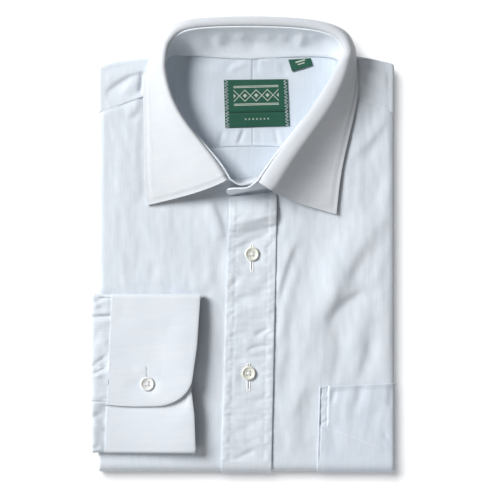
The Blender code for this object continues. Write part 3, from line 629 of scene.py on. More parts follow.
def stack_point(across, along, lift=0.0):
    """The point of a place on the stack, from the shoulder over the bottom fold to the hem."""
    x, depth = over_side(across, lift)
    turn = (FOOT_Y - along) / TURN_RADIUS
    if turn <= 0:
        return Vector((x, along, STACK_HEIGHT - depth))
    if turn < pi:
        reach = TURN_RADIUS - depth * (1 - CORNER_DRAW * sin(turn) ** 2)
        out, up = pressed(turn, FOOT_SQUARE)
        return Vector((x, FOOT_Y - reach * out, TURN_RADIUS + reach * up))
    return Vector((x, FOOT_Y + (turn - pi) * TURN_RADIUS, max(depth, 0.02)))


print("lower left corner", [round(v, 1) for v in stack_point(BODY_LEFT - 2.5, FOOT_Y - 14)])

# %% [markdown]
# ## Collar sizes
#
# The collar is measured before the fronts, because the fronts end at its seam. It is a stand, which rises
# from the neck seam, and a leaf, which turns over the stand and falls outwards to two points. Its table
# goes once round the neck. Each row is a place on the collar: the top of the roll, the neck seam under it
# and the leaf's edge outside it.

# %% Collar table
COLLAR = (
    (-11.6, 52.2, 43.0, -10.2, 51.3, 19.2, -77.2, 31.5, 20.6),
    (-21.1, 66.8, 43.0, -23.8, 63.1, 17.0, -79.0, 51.9, 20.3),
    (-44.9, 96.5, 40.0, -50.1, 91.8, 17.0, -79.6, 93.4, 20.1),
    (-56.0, 114.8, 38.5, -60.5, 111.8, 17.0, -80.2, 118.9, 20.1),
    (-62.3, 132.2, 38.5, -64.5, 130.2, 16.6, -78.8, 136.5, 20.0),
    (-63.9, 146.5, 40.0, -63.0, 144.9, 15.0, -74.5, 150.5, 17.8),
    (-59.6, 163.0, 39.0, -57.5, 150.6, 13.4, -65.5, 165.2, 9.0),
    (-42.6, 172.4, 38.0, -41.5, 151.7, 13.0, -44.8, 178.6, 3.4),
    (1.0, 173.6, 38.0, -0.6, 149.3, 12.9, 1.0, 181.9, 2.0),
    (48.6, 172.0, 38.0, 45.1, 151.0, 13.0, 50.8, 179.6, 3.4),
    (73.1, 166.9, 39.0, 69.9, 150.2, 13.4, 77.0, 171.0, 8.0),
    (81.4, 155.6, 40.0, 78.6, 144.9, 15.0, 86.2, 156.6, 15.0),
    (77.8, 144.9, 40.5, 80.9, 131.8, 16.6, 90.8, 140.3, 20.0),
    (68.3, 127.4, 41.0, 76.9, 113.4, 17.0, 91.2, 122.1, 20.2),
    (54.9, 107.6, 41.5, 66.5, 93.4, 17.0, 88.0, 103.8, 20.4),
    (25.6, 68.8, 43.0, 32.2, 59.1, 17.0, 78.4, 59.9, 20.4),
    (12.9, 50.2, 43.4, 18.4, 45.7, 19.4, 74.0, 24.3, 20.7),
)
# The roll at each of those rows. Columns: how far outside the table the leaf's inner edge lies, the roll's
# half width and height, the slope in degrees at which the leaf leaves it, how far outside the table the
# stand's top lies, and how far up beside the roll it comes
ROLLS = (
    (3.2, 1.7, 2.0, 27, 1.2, 2.2),
    (2.8, 1.8, 2.0, 29, 1.0, 2.2),
    (2.4, 1.9, 2.0, 40, 2.2, 0.0),
    (1.6, 2.0, 2.0, 52, 1.6, 0.0),
    (0.4, 2.0, 2.0, 62, 0.4, 0.0),
    (0.0, 2.0, 2.0, 68, 0.0, 0.0),
    (0.0, 2.2, 1.9, 72, -0.4, 0.8),
    (1.6, 2.6, 1.8, 80, 0.4, 2.6),
    (3.0, 3.0, 1.8, 84, 1.8, 2.6),
    (2.6, 3.0, 1.8, 82, 1.4, 2.6),
    (0.6, 3.0, 1.9, 76, -0.2, 2.2),
    (0.0, 3.0, 2.2, 68, -0.3, 0.6),
    (0.0, 3.8, 3.0, 62, 0.0, 0.0),
    (0.0, 5.4, 3.6, 58, 0.0, 0.0),
    (0.4, 6.8, 4.0, 53, 0.2, 0.0),
    (1.2, 6.8, 4.0, 50, -0.4, 1.6),
    (1.4, 5.6, 3.6, 47, -0.4, 2.4),
)
SEAM_ROWS = smooth_rows([row[3:5] for row in COLLAR], 4)
SHOULDER_END = 149.5
NECK_EDGE = 2.4


def seam_x(side, y):
    """x of the neck seam at this y, on the right front (side -1) or the left front (side 1)."""
    rows = [(py, px) for px, py in SEAM_ROWS if px * side > 0 and py < SHOULDER_END and abs(px) > 9]
    return read_off(rows, y)


def front_edge_x(side, y):
    """The fronts' inner edge: at the neck seam above, and at the centre front below."""
    if side < 0:
        return seam_x(-1, y) - NECK_EDGE if y > 51 else CENTRE_FRONT - GAP
    return seam_x(1, y) + NECK_EDGE if y > 45.5 else CENTRE_FRONT


print("neck seam at y 100:", round(seam_x(-1, 100), 1), round(seam_x(1, 100), 1))

# %% [markdown]
# ## The two fronts
#
# A front is a flat panel that goes over the side fold at its outer edge and round the bottom fold to the
# underside. The left front, on the viewer's right, is slack: it has a long bright fold from the armhole
# down towards the placket, with troughs beside it. The right front is nearly flat.

# %% Folds in the fronts
FRONT_SWELL = 0.9
LEFT_FOLD_SHARE = 0.8
FRONT_DRAWN_Y = 90.0
FRONT_TOP_Y = 118.0
UNDER_YOKE = 1.5
FRONT_FLAT = 130.0
LEFT_FRONT_FOLDS = (
    (((113, 24), (99.4, 8), (89, -5.6), (79.4, -20), (73, -36), (65.8, -48), (59.4, -61.6)),
     16.0, 8.5, 2.7, 2.0),
    (((82, -18), (73, -36), (62, -55), (53, -76), (43.4, -90)), 14.0, 13.0, 1.5, 2.0),
    (((97, -38), (87, -43), (78.6, -49), (72.6, -56), (68.6, -66)), 4.6, 7.0, -1.8, 1.8),
    (((70, -62), (75.4, -76), (75.4, -92), (72.2, -112)), 5.0, 6.0, -1.2, 2.0),
    (((112, -14), (104, -26), (98, -34)), 4.0, 5.0, 0.5, 2.0),
    (((92, -34), (88, -38), (80, -42)), 3.0, 2.2, 0.5, 1.8),
    (((41.8, 4), (34.6, -13.6), (29.8, -29.6), (26.2, -44)), 9.0, 1.7, 1.6, 1.6),
    (((43, -16), (38, -32), (34.2, -46.4), (31, -61.6), (28.2, -76)), 4.0, 5.5, 1.4, 2.0),
    (((102.6, -72), (99.4, -88), (94.6, -104), (90.6, -117.6)), 4.0, 7.0, -1.6, 2.0),
    (((99.4, -52), (91.4, -72), (83.4, -88)), 8.0, 6.0, 1.0, 2.0),
    (((47.4, -112), (42.6, -124), (37.8, -138.4)), 9.0, 4.0, 1.2, 2.0),
    (((58, -112), (54, -130), (50, -160)), 5.0, 8.0, -1.1, 2.0),
    (((60, 30), (62, 8), (56, -12), (49, -34)), 13.0, 9.0, -1.3, 2.0),
    (((115.4, 104), (106.6, 92), (97, 81.6), (85, 71.2)), 10.0, 4.5, 1.8, 2.0),
    (((112, 60), (104, 40), (100, 24)), 8.0, 8.0, -0.7, 2.0),
    (((112, 0), (113, -40), (111, -75), (106, -108)), 8.0, 6.0, 0.5, 2.0),
    (((98, -4), (92, -18), (86, -28)), 4.0, 4.0, -0.7, 2.0),
    (((38, -86), (34, -100), (33, -116)), 5.0, 6.0, -0.9, 2.0),
    (((66, -84), (58, -104), (52, -122)), 6.0, 6.0, 0.7, 2.0),
    (((60, -158), (50, -163), (44, -168)), 3.0, 3.0, -0.7, 1.6),
)
RIGHT_FRONT_FOLDS = (
    (((-27.4, 38), (-23.6, 26), (-19.8, 15.6), (-15.6, 5)), 9.0, 3.2, 1.5, 2.0),
    (((-18.6, 0), (-19.4, -18), (-19.8, -37)), 3.6, 4.5, -0.45, 2.0),
    (((-26.6, -19), (-26.4, -31)), 3.4, 3.0, 0.4, 2.0),
    (((-70, -12), (-71, -25)), 5.0, 5.0, -0.40, 2.0),
    (((-49.4, -14), (-49.4, -25)), 2.6, 2.6, -0.32, 2.0),
    (((-43.2, -18), (-43.4, -37)), 2.8, 2.8, -0.40, 2.0),
    (((-96, -32), (-70, -34), (-48, -33.5)), 4.5, 4.0, -0.7, 2.0),
    (((-84, 110), (-95, 105.6)), 5.0, 5.0, 0.6, 2.0),
    (((-82, 107), (-87, 102.4), (-92.6, 100.8)), 3.0, 3.0, -0.7, 2.0),
    (((-96, 84), (-100, 40), (-99, 0)), 8.0, 8.0, 0.4, 2.0),
    (((-60, 30), (-64, 0), (-66, -30)), 6.0, 6.0, 0.35, 2.0),
)
LEAF_EDGE = ((-200.0, 74.0), (24.0, 74.0), (60.0, 78.4), (104.0, 88.0), (122.0, 91.2))
POCKET_TOP_Y = (-113.0, -110.4)
CUFF_TOP_Y = -38.8
PLACKET_BED = 1.1


def rest_height(x, y):
    """The fronts' large form. It fades out at the edges, and under what lies on the fronts."""
    side = np.sign(x)
    edge = np.where(x > 0, BODY_RIGHT, -BODY_LEFT)
    clear_of_placket = np.where(x > 0, fade(x, 23, 29), fade(-x, 12.5, 17))
    folds = np.where(x > 0, LEFT_FOLD_SHARE * slumped(x, y, LEFT_FRONT_FOLDS), slumped(x, y, RIGHT_FRONT_FOLDS))
    leaf_x = np.where(x > 0, np.interp(y, *np.array(LEAF_EDGE).T), 80.0)
    clear_of_leaf = np.maximum(fade(y, 44, 30), fade(np.abs(x) - leaf_x, -1, 7))
    in_from_edge = edge - np.abs(x)
    height = FRONT_SWELL * fade(in_from_edge, 0.3, 5) + folds * clear_of_placket * fade(in_from_edge, 1, 12)
    height = height * clear_of_leaf * fade(y, FOOT_Y + 2, FOOT_Y + 20)
    under_cuff = np.maximum(fade(-x, 34, 22), fade(y, CUFF_TOP_Y - 3, CUFF_TOP_Y + 6))
    under_pocket = np.maximum(fade(x, 60, 50), fade(y, POCKET_TOP_Y[0] - 2, POCKET_TOP_Y[0] + 12))
    return height * np.where(side < 0, under_cuff, 0.45 + 0.55 * under_pocket)


def fine_height(x, y):
    """Slack in the cloth too small for the fold tables, drawn out along the warp."""
    edge = np.where(x > 0, BODY_RIGHT, -BODY_LEFT)
    height = 0.26 * ripple(x, y, 11, 30, 1.0) + 0.16 * ripple(x, y, 5, 11, 2.0)
    return height * fade(edge - np.abs(x), 1, 8) * fade(y, FOOT_Y + 1, FOOT_Y + 10)


def under_placket(x, y):
    """1 where the placket hides the fronts, which lie a little lower there."""
    return within(x, -11.5, -9, 19, 21.5) * fade(y, 36, 30)


def front_sheet(side):
    """The grid of a front: across from the centre front or the neck, along from the hem to the yoke seam."""
    flat_end = side * flat_of(side)
    end = side_end(side)
    hem = UNDER_Y - (HEM_Y - FOOT_Y)
    along = levels(hem, UNDER_Y, FOOT_Y, 40, 58, FRONT_TOP_Y, step=(12, 1.5, 1.7, 1.2, 1.7))
    across = levels(0, 1, 2, step=(1.7 / 112, 0.06))

    def place(share, y):
        start = front_edge_x(side, y)
        if share <= 1:
            x = start + (flat_end - start) * share
        else:
            x = flat_end + (end - flat_end) * (share - 1)
        if y > FRONT_DRAWN_Y:
            y = stretched(y, FRONT_DRAWN_Y, FRONT_TOP_Y, read_off(YOKE_SEAM, x) + UNDER_YOKE)
        return stack_point(x, y)

    sheet = Sheet(across, along, place, flip=side < 0)
    x, y = x_of(sheet), y_of(sheet)
    upper = np.repeat((np.array(along) > FOOT_Y)[:, None], len(across), axis=1) & (sheet.points[..., 2] > 16)
    tuck = -0.5 * fade(sheet.top, 5, 1) - PLACKET_BED * under_placket(x, y)
    under_side = -0.22 * (1 + np.clip(ripple(x, y, 26, 70, 30.0), -1, 1)) * fade(sheet.points[..., 2], 0.4, 0.1)
    sheet.lift(np.where(upper, rest_height(x, y) + fine_height(x, y) + tuck, under_side))
    sheet.flat = np.stack([side * (FRONT_FLAT - sheet.right), sheet.foot], axis=-1)
    return sheet


right_sheet = front_sheet(-1)
left_sheet = front_sheet(1)
make_cloth("right_front_cloth", right_sheet, FRONT_WALL, cloth, ["right_front"])
make_cloth("left_front_cloth", left_sheet, FRONT_WALL, cloth, ["left_front"])

# %% [markdown]
# ## The shoulder ends of the yoke
#
# The yoke is the double panel over the shoulders. Its front ends lap over the fronts with a pressed edge,
# run up to the shoulder and turn over it. They are laid like the fronts, with the side fold closing to a
# quarter round at the shoulder corner. The edge stands a little proud of the front, as two plies do.

# %% Yoke shoulders
YOKE_FOLDS = (
    (((-79, 137.4), (-88.6, 135.4), (-96.6, 131.4), (-103, 126.6), (-108.6, 122.6), (-112.5, 118.6)),
     2.0, 6.5, -1.6, 1.5),
    (((-76, 145.2), (-84.6, 141.2), (-93.6, 138.4)), 1.3, 2.8, -0.8, 1.5),
    (((-84, 139.4), (-94, 134.8), (-102, 130)), 2.6, 2.0, 0.6, 2.0),
    (((-81.2, 138), (-81.8, 130), (-83.0, 121)), 1.8, 4.0, -2.2, 1.6),
    (((-88, 133), (-92, 126), (-98, 121)), 3.0, 3.0, 0.6, 2.0),
    (((-79, 121), (-85, 119.6), (-90, 118.6)), 3.0, 3.0, -0.7, 2.0),
    (((99.4, 127.2), (90.6, 132.8), (86, 136)), 2.6, 2.2, 0.9, 1.8),
    (((110, 117), (101, 120), (93, 121)), 3.0, 4.0, -0.5, 2.0),
    (((116, 130), (108, 133), (100, 139)), 5.0, 4.0, 0.5, 2.0),
)
YOKE_LAP = 0.75
YOKE_STITCH = 2.0
YOKE_FLAT = 260
SHOULDER_TURN = radians(160)


def shoulder_point(across, share, turn, lift=0.0):
    """A place on the yoke: share runs from the yoke seam to the shoulder's round, turn goes over it."""
    x, depth = over_side(across, lift)
    start = read_off(YOKE_SEAM, x)
    end = read_off(SHOULDER_LINE, x) - SIDE_RADIUS
    y = start + (end - start) * share
    if turn <= 0:
        return Vector((x, y, STACK_HEIGHT - depth))
    reach = SIDE_RADIUS - depth
    out, up = pressed(turn, SIDE_SQUARE)
    return Vector((x, end + reach * out, STACK_HEIGHT - SIDE_RADIUS + reach * up))


def shoulder_sheet(side):
    flat_end = side * flat_of(side)
    across = levels(0, 1, 2, step=(0.03, 0.07))
    along = levels(0, 1, 2, step=(0.045, 0.06))

    def place(spot, row):
        share, turn = min(row, 1.0), max(0.0, row - 1) * SHOULDER_TURN
        guess = shoulder_point(side * 80, share, turn).y
        start = seam_x(side, min(guess, 143)) + side * NECK_EDGE
        if spot <= 1:
            return shoulder_point(start + (flat_end - start) * spot, share, turn)
        last_turn = SIDE_TURN + (pi / 2 - SIDE_TURN) * float(fade(share, 0.55, 1.0))
        return shoulder_point(flat_end + side * SIDE_RADIUS * last_turn * (spot - 1), share, turn)

    sheet = Sheet(across, along, place, flip=side < 0)
    x, y = x_of(sheet), y_of(sheet)
    flat_part = (sheet.b < 1) * fade(sheet.a, 1.0, 0.9)
    seam_form = YOKE_LAP + bump(sheet.foot - 0.9, 0.8, 0.2) + bump(sheet.foot - YOKE_STITCH, 0.7, -0.15)
    height = seam_form + slumped(x, y, YOKE_FOLDS) * fade(sheet.foot, 1, 6)
    height = height + 0.14 * ripple(x, y, 12, 8, 3.0)
    height = height * fade(sheet.b, 1.0, 0.8)
    sheet.lift(flat_part * height + (1 - flat_part) * YOKE_LAP * 0.5 * fade(sheet.b, 1.0, 0.8))
    sheet.flat = np.stack([side * sheet.left, sheet.foot + YOKE_FLAT], axis=-1)
    return sheet


right_yoke = shoulder_sheet(-1)
left_yoke = shoulder_sheet(1)
make_cloth("right_shoulder_yoke_cloth", right_yoke, FRONT_WALL, cloth, ["right_shoulder_yoke"], weld=True)
make_cloth("left_shoulder_yoke_cloth", left_yoke, FRONT_WALL, cloth, ["left_shoulder_yoke"], weld=True)

# %% [markdown]
# ## Inside the neck
#
# Through the neck one sees the inner yoke, cut in two halves with a seam down the middle, and below it the
# top of the back. The yoke hangs on the neck seam above and on its own seam below, and the label's stitches
# pull it between, so small creases start at the label's lower corners. Below its seam the back is smooth.

# %% Yoke and back inside
INSIDE_WALL = 0.8
YOKE_TOP = 12.5
YOKE_BACK_Y = 78.0
YOKE_SAG_Y = 90.0
YOKE_DRAWN_Y = 135.0
YOKE_TOP_Y = 150.0
YOKE_HALF = 34.0
YOKE_SAG = 1.5
NECK_RISE = 3.6
CENTRE_SEAM_X = 6.9
BACK_STITCH = 3.2
INSIDE_RIM = ((48.0, 1.0), (56.0, 5.4), (130.0, 5.4), (142.0, 1.6))
INSIDE_FOLDS = (
    (0.5, 93.0, -4.4, 81.0, 1.5, -1.1, 1.6),
    (-2.5, 92.0, -7.6, 81.5, 1.8, 0.5, 1.8),
    (24.6, 93.5, 27.6, 80.5, 1.5, -1.1, 1.6),
    (28.5, 92.0, 31.0, 81.0, 1.8, 0.5, 1.8),
    (-16.6, 91.0, -20.4, 79.0, 2.2, -1.1, 1.6),
    (12.6, 94.0, 13.0, 81.0, 1.6, -0.4, 1.6),
    (-11.0, 90.0, -13.5, 82.0, 1.5, -0.3, 1.6),
    (30.0, 145.5, 34.0, 136.0, 3.0, -0.9, 1.8),
    (10.6, 149.0, 9.0, 138.0, 2.2, -0.8, 1.8),
    (-8.0, 147.0, -14.0, 139.0, 3.0, -0.5, 1.8),
    (-12.0, 140.0, 2.0, 146.0, 2.6, 0.6, 1.6),
    (12.0, 146.0, 26.0, 150.0, 2.4, 0.6, 1.6),
    (-40.0, 142.0, -20.0, 136.0, 4.0, 0.5, 2.0),
    (46.0, 132.0, 62.0, 122.0, 5.0, 0.5, 2.0),
    (44.0, 118.0, 60.0, 108.0, 5.0, 0.4, 2.0),
    (-34.0, 118.0, -20.0, 104.0, 5.0, 0.4, 2.0),
)
BACK_FOLDS = ((-6.0, 76.0, -4.0, 60.0, 2.2, -0.3, 1.6), (12.0, 76.0, 10.0, 64.0, 3.0, -0.25, 2.0))
SHOWN_SEAM_Y = 143.0


def inside_sheet(left_edge, right_edge, rows):
    """A panel inside the neck between two edges, each a function of y. It is raised at the viewer's left."""

    def place(share, y):
        left, right = left_edge(y), right_edge(y)
        x = left + (right - left) * share
        if y > YOKE_DRAWN_Y:
            y = stretched(y, YOKE_DRAWN_Y, YOKE_TOP_Y, min(neck_seam_y(x), 152.0) + 0.6)
        if y < YOKE_SAG_Y:
            sag = YOKE_SAG * (1 - ((x - CENTRE_SEAM_X) / YOKE_HALF) ** 2)
            y += sag * (YOKE_SAG_Y - y) / (YOKE_SAG_Y - YOKE_BACK_Y)
        near_left = float(fade(x - seam_x(-1, min(y, SHOWN_SEAM_Y)), 20, 0))
        return Vector((x, y, YOKE_TOP + NECK_RISE * near_left))

    return Sheet(levels(0, 1, step=0.02), rows, place)


def neck_seam_y(x):
    """y of the neck seam behind the yoke at this x."""
    return read_off([(px, py) for px, py in SEAM_ROWS if py > 144.5], x)


def outer_rim(side):
    """The edge of what shows inside the neck, as a function of y."""
    return lambda y: seam_x(side, min(y, SHOWN_SEAM_Y)) + side * read_off(INSIDE_RIM, y)


def seam_in_middle(y):
    return CENTRE_SEAM_X


yoke_rows = levels(YOKE_BACK_Y - 0.5, YOKE_TOP_Y, step=1.4)
right_inside = inside_sheet(outer_rim(-1), seam_in_middle, yoke_rows)
left_inside = inside_sheet(seam_in_middle, outer_rim(1), yoke_rows)
back_in = inside_sheet(outer_rim(-1), outer_rim(1), levels(44.0, YOKE_BACK_Y + 2, step=1.4))
for sheet, to_seam in ((right_inside, right_inside.right), (left_inside, left_inside.left)):
    x, y = x_of(sheet), y_of(sheet)
    form = folds_over(x, y, INSIDE_FOLDS) + 0.12 * ripple(x, y, 9, 14, 4.0) + 0.25
    puff = bump(sheet.foot - 1.2, 1.0, 0.4) + bump(sheet.foot - BACK_STITCH, 0.7, -0.2)
    sheet.lift(form + puff + bump(to_seam, 1.0, 0.35) - 0.5 * fade(to_seam, 0.5, 0))
    sheet.flat = np.stack([x, y], axis=-1)
x, y = x_of(back_in), y_of(back_in)
form = -0.45 * fade(back_in.top, 4, 2) + 0.1 * ripple(x, y, 10, 25, 5.0)
back_in.lift(form + folds_over(x, y, BACK_FOLDS))
back_in.flat = np.stack([x, y], axis=-1)
inside_panels = {"right_yoke_inside": right_inside, "left_yoke_inside": left_inside, "back_inside": back_in}
for node, sheet in inside_panels.items():
    make_cloth(node + "_cloth", sheet, INSIDE_WALL, wrong_side, [node])

# %% [markdown]
# ## The hidden layers
#
# Between the fronts lie the back, the far sleeve and the turned-in sides. Only their edges and ends show: in
# the groove down each side, at the hem and from behind. Laying every hidden ply would make a heavy model
# that nobody sees, so the body of the stack is one closed sheet with a groove between its plies, and the
# ends of the tail are three flat loops, one on another, each a little longer or shorter than the next.

# %% Body of the stack
LAYER_WALL = 0.9
LAYER_RADIUS = 2.6
LAYER_BELLY = TURN_RADIUS - 0.35
LAYER_END_Y = 117.0
LAYER_DRAWN_Y = 100.0
NECK_DIP = 5.8
NECK_END_DROP = 7.6
PLY_TURNS = (58, 92, 128)


def layer_ring():
    """Once round the hidden layers, as x, depth and whether the place is on the upper side."""
    right, left = flat_of(1), flat_of(-1)

    def arc(side, turns):
        flat = right if side > 0 else left
        found = []
        for turn in turns:
            cut = 0.32 * sum(np.exp(-(((turn - ply) / 6) ** 2)) for ply in PLY_TURNS)
            out, up = sin(radians(turn)), cos(radians(turn))
            found.append((side * (flat + (LAYER_RADIUS - cut) * out), SIDE_RADIUS - LAYER_RADIUS * up, False))
        return found

    upper = [(x, SIDE_RADIUS - LAYER_RADIUS, True) for x in levels(-left, right, step=4)]
    lower = [(x, LAYER_BELLY, False) for x in levels(right - 2.5, 2.5 - left, step=8)]
    turns = list(range(9, 181, 9))
    return upper + arc(1, turns) + lower + arc(-1, turns[::-1]) + [upper[0]]


def in_neck(x, y):
    """1 where the neck is hollow over the layers, 0 outside it."""
    if not 42 < y < 156:
        return 0.0
    sides = min(x - outer_rim(-1)(y), outer_rim(1)(y) - x) + 0.8
    return float(fade(min(sides, y - 43.5), -1.5, 0.5))


layer_end = UNDER_Y - (LAYER_END_Y - FOOT_Y)
caps = [(cos(t), LAYER_RADIUS * sin(t)) for t in levels(0, radians(86), step=radians(16))]
# Rows along the stack. Columns: the place along it, as a share of the drawn stretch or a y, or none in the
# end under the shoulder; how far the ring is squashed and bulges in a rounded end; how full the belly is
layer_rows = [(None, squash, bulge, 0.0) for squash, bulge in reversed(caps)]
layer_rows += [(share, 1.0, 0.0, 1 - share) for share in (0.93, 0.86, 0.7, 0.55, 0.4, 0.2)]
layer_rows += [(y, 1.0, 0.0, 1.0) for y in levels(LAYER_DRAWN_Y, FOOT_Y, UNDER_Y, layer_end, step=(4, 2, 8))]
layer_rows += [(layer_end, squash, bulge, 1.0) for squash, bulge in caps[1:]]
layer_spots = layer_ring()


def layer_place(spot, row):
    """A place on the ring at a row. The ring dips under the neck, and its two ends are rounded off."""
    x, depth, upper = layer_spots[int(spot)]
    along, squash, bulge, full = layer_rows[int(row)]
    if depth == LAYER_BELLY:
        depth = SIDE_RADIUS + LAYER_RADIUS + (LAYER_BELLY - SIDE_RADIUS - LAYER_RADIUS) * min(1.0, 2.5 * full)
    end = read_off(SHOULDER_LINE, x) - SIDE_RADIUS - 0.6
    if along is None:
        z = STACK_HEIGHT - SIDE_RADIUS - (depth - SIDE_RADIUS) * squash
        return Vector((x, end + bulge, min(z, STACK_HEIGHT - NECK_END_DROP * in_neck(x, end + bulge))))
    if full < 1:
        along = LAYER_DRAWN_Y + (end - LAYER_DRAWN_Y) * along
    if along > FOOT_Y:
        if upper:
            trough = -float(rest_height(np.array([x]), np.array([along]))[0])
            depth += NECK_DIP * in_neck(x, along) + max(0.0, trough)
        return Vector((x, along, STACK_HEIGHT - depth))
    turn = min(pi, (FOOT_Y - along) / TURN_RADIUS)
    if turn == pi:
        middle = (SIDE_RADIUS - LAYER_RADIUS + LAYER_BELLY) / 2
        depth = middle + (depth - middle) * squash
    reach = TURN_RADIUS - depth
    past = max(0.0, UNDER_Y - along) + bulge
    return Vector((x, FOOT_Y - reach * sin(turn) + past, TURN_RADIUS + reach * cos(turn)))


layers = Sheet(range(len(layer_spots)), range(len(layer_rows)), layer_place, flip=True)
make_cloth("folded_layers_cloth", layers, LAYER_WALL, wrong_side, ["folded_layers"], edge=0, weld=True)

# %% Ends of the tail
# Columns: the loop's low and high side, the y of its nose, and a number that makes its edge its own
TAIL_LOOPS = ((1.7, 3.5, 125.4, 41.0), (3.8, 5.9, 123.8, 42.0), (6.2, 8.5, 125.8, 43.0))
TAIL_DEEP = 14.0
TAIL_WALL = 0.7


def tail_loop(low, high, nose, seed):
    """One ply turned back on itself: t goes along its upper side, round its nose and back underneath."""
    half, middle = (high - low) / 2, (high + low) / 2

    def place(x, t):
        side = flat_of(1 if x > 0 else -1)
        over = min(0.98, max(0.0, (abs(x) - side) / LAYER_RADIUS))
        tall = half * (1 - over**2) ** 0.5
        end = nose - half - 2.0 * (1 - (1 - over**2) ** 0.5) + 0.7 * noise.noise(Vector((x / 30, seed, 0)))
        if t < 0:
            return Vector((x, end + t * TAIL_DEEP, middle + tall))
        if t <= 1:
            return Vector((x, end + half * sin(pi * t), middle + tall * cos(pi * t)))
        return Vector((x, end - (t - 1) * TAIL_DEEP, middle - tall))

    right, left = flat_of(1), flat_of(-1)
    across = levels(-left - 2.5, -left, right, right + 2.5, step=(0.5, 5, 0.5))
    return Sheet(across, levels(-1, 0, 1, 2, step=(0.25, 0.1, 0.25)), place, flip=True)


for number, loop in enumerate(TAIL_LOOPS, start=1):
    make_cloth(f"tail_ply_{number}", tail_loop(*loop), TAIL_WALL, wrong_side, ["folded_layers"], edge=0)

# %% [markdown]
# ## The collar
#
# The stand is a strip on edge, fixed to the neck seam. At the back it leans outwards, so its wrong side
# shows from above, with a few soft dents where it was folded. The leaf rolls over the top of the stand and
# falls to the shirt: round at the roll, then steep, then flatter as its edge lands on the fronts. Both are
# made from the same table, and from the same upright cut at each row of it, so they never touch.

# %% Cut through the leaf
LEAF_WALL = 1.2
STAND_WALL = 1.2
ROLL_EDGE = 2.0
ROLL_FOOT = 0.8
LEAF_REACH = (0.37, 0.48)
CLOSE_AT_ROLL = 1.35
COLLAR_STEPS = 14


def leaf_cut(row):
    """The leaf's middle line in its own upright plane, and what places that plane."""
    roll, edge = Vector(row[0:3]), Vector(row[6:9])
    shift, wide, high, fall = row[9:13]
    fall = radians(fall)
    flat = Vector((edge.x - roll.x, edge.y - roll.y, 0))
    out = flat.normalized()
    centre = roll + out * (shift - ROLL_EDGE + wide) - Vector((0, 0, high + ROLL_FOOT))
    last_turn = pi / 2
    flatness = 1 - 0.5 * float(fade(wide, 3, 5))
    while flatness * high / wide * cos(last_turn) * sin(last_turn) ** (flatness - 2) < sin(fall) / cos(fall):
        last_turn -= radians(0.5)
    turns = levels(pi, last_turn, step=radians(12))
    line = [Vector((-wide, -ROLL_FOOT))]
    line += [Vector((wide * cos(t), high * max(0.0, sin(t)) ** flatness)) for t in turns]
    start, end = line[-1], Vector((flat.length - shift + ROLL_EDGE - wide, edge.z - centre.z))
    span = (end - start).length
    mean = atan2(start.y - end.y, max(end.x - start.x, 0.1))
    first = start + Vector((cos(fall), -sin(fall))) * span * LEAF_REACH[0]
    land = max(2 * mean - fall, radians(3))
    second = end - Vector((cos(land), -sin(land))) * span * LEAF_REACH[1]
    for t in levels(0, 1, step=0.034)[1:]:
        u = 1 - t
        line.append(start * u**3 + first * 3 * t * u * u + second * 3 * t * t * u + end * t**3)
    return centre, out, line


def same_count(line, count):
    """The line with a fixed number of points, the roll's points close together."""
    size = [0.0]
    for a, b in zip(line, line[1:]):
        size.append(size[-1] + (b - a).length)
    share = np.linspace(0, 1, count) ** CLOSE_AT_ROLL
    h = np.interp(share * size[-1], size, [p.x for p in line])
    z = np.interp(share * size[-1], size, [p.y for p in line])
    return list(zip(h, z))


COLLAR_CUTS = [place + roll for place, roll in zip(COLLAR, ROLLS)]
collar_rows = smooth_rows(COLLAR_CUTS, COLLAR_STEPS)
LEAF_POINTS = 50
cuts = [(centre, out, same_count(line, LEAF_POINTS)) for centre, out, line in map(leaf_cut, collar_rows)]


def leaf_place(station, point):
    centre, out, line = cuts[int(station)]
    h, z = line[int(point)]
    return centre + out * h + Vector((0, 0, z))


leaf = Sheet(range(len(cuts)), range(LEAF_POINTS), leaf_place, flip=True)
# The two front edges curve a little, because the leaf is cut so
FRONT_BOW = (2.4, 4.2)
BOW_REACH = 22.0
share_down = leaf.foot / (leaf.foot + leaf.top)
for off, bow in ((leaf.left, FRONT_BOW[0]), (leaf.right, FRONT_BOW[1])):
    leaf.points[..., 1] -= bow * np.sin(pi * share_down**0.75) * np.exp(-((off / BOW_REACH) ** 2))
leaf.measure()
print("collar leaf", leaf.shape, "front edge", round(float(leaf.foot[-1, 0]), 1), "mm")

# %% The leaf's seams and slack
LEAF_STITCH = 5.2

edge_off = np.minimum(leaf.top, np.minimum(leaf.left, leaf.right))
along_edge = np.where(leaf.top < np.minimum(leaf.left, leaf.right), leaf.left, leaf.foot)
form = bump(edge_off - LEAF_STITCH, 0.7, -0.30)
form = form + 0.28 * within(edge_off, 0, 1.5, LEAF_STITCH - 1.6, LEAF_STITCH)
form = form + pucker(edge_off - LEAF_STITCH, along_edge, 3.0, 0.10, 5.0, 6.0)
form = form + 0.30 * ripple(leaf.left, leaf.foot, 45, 22, 7.0) * fade(leaf.foot, 4, 14)
form = form + 0.10 * ripple(leaf.left, leaf.foot, 14, 9, 8.0) * fade(leaf.foot, 4, 10)
leaf.lift(form)
make_cloth("collar_leaf_cloth", leaf, LEAF_WALL, collar_cloth_painted_shade, ["collar_leaf"], offset=0.0, edge=0.45)

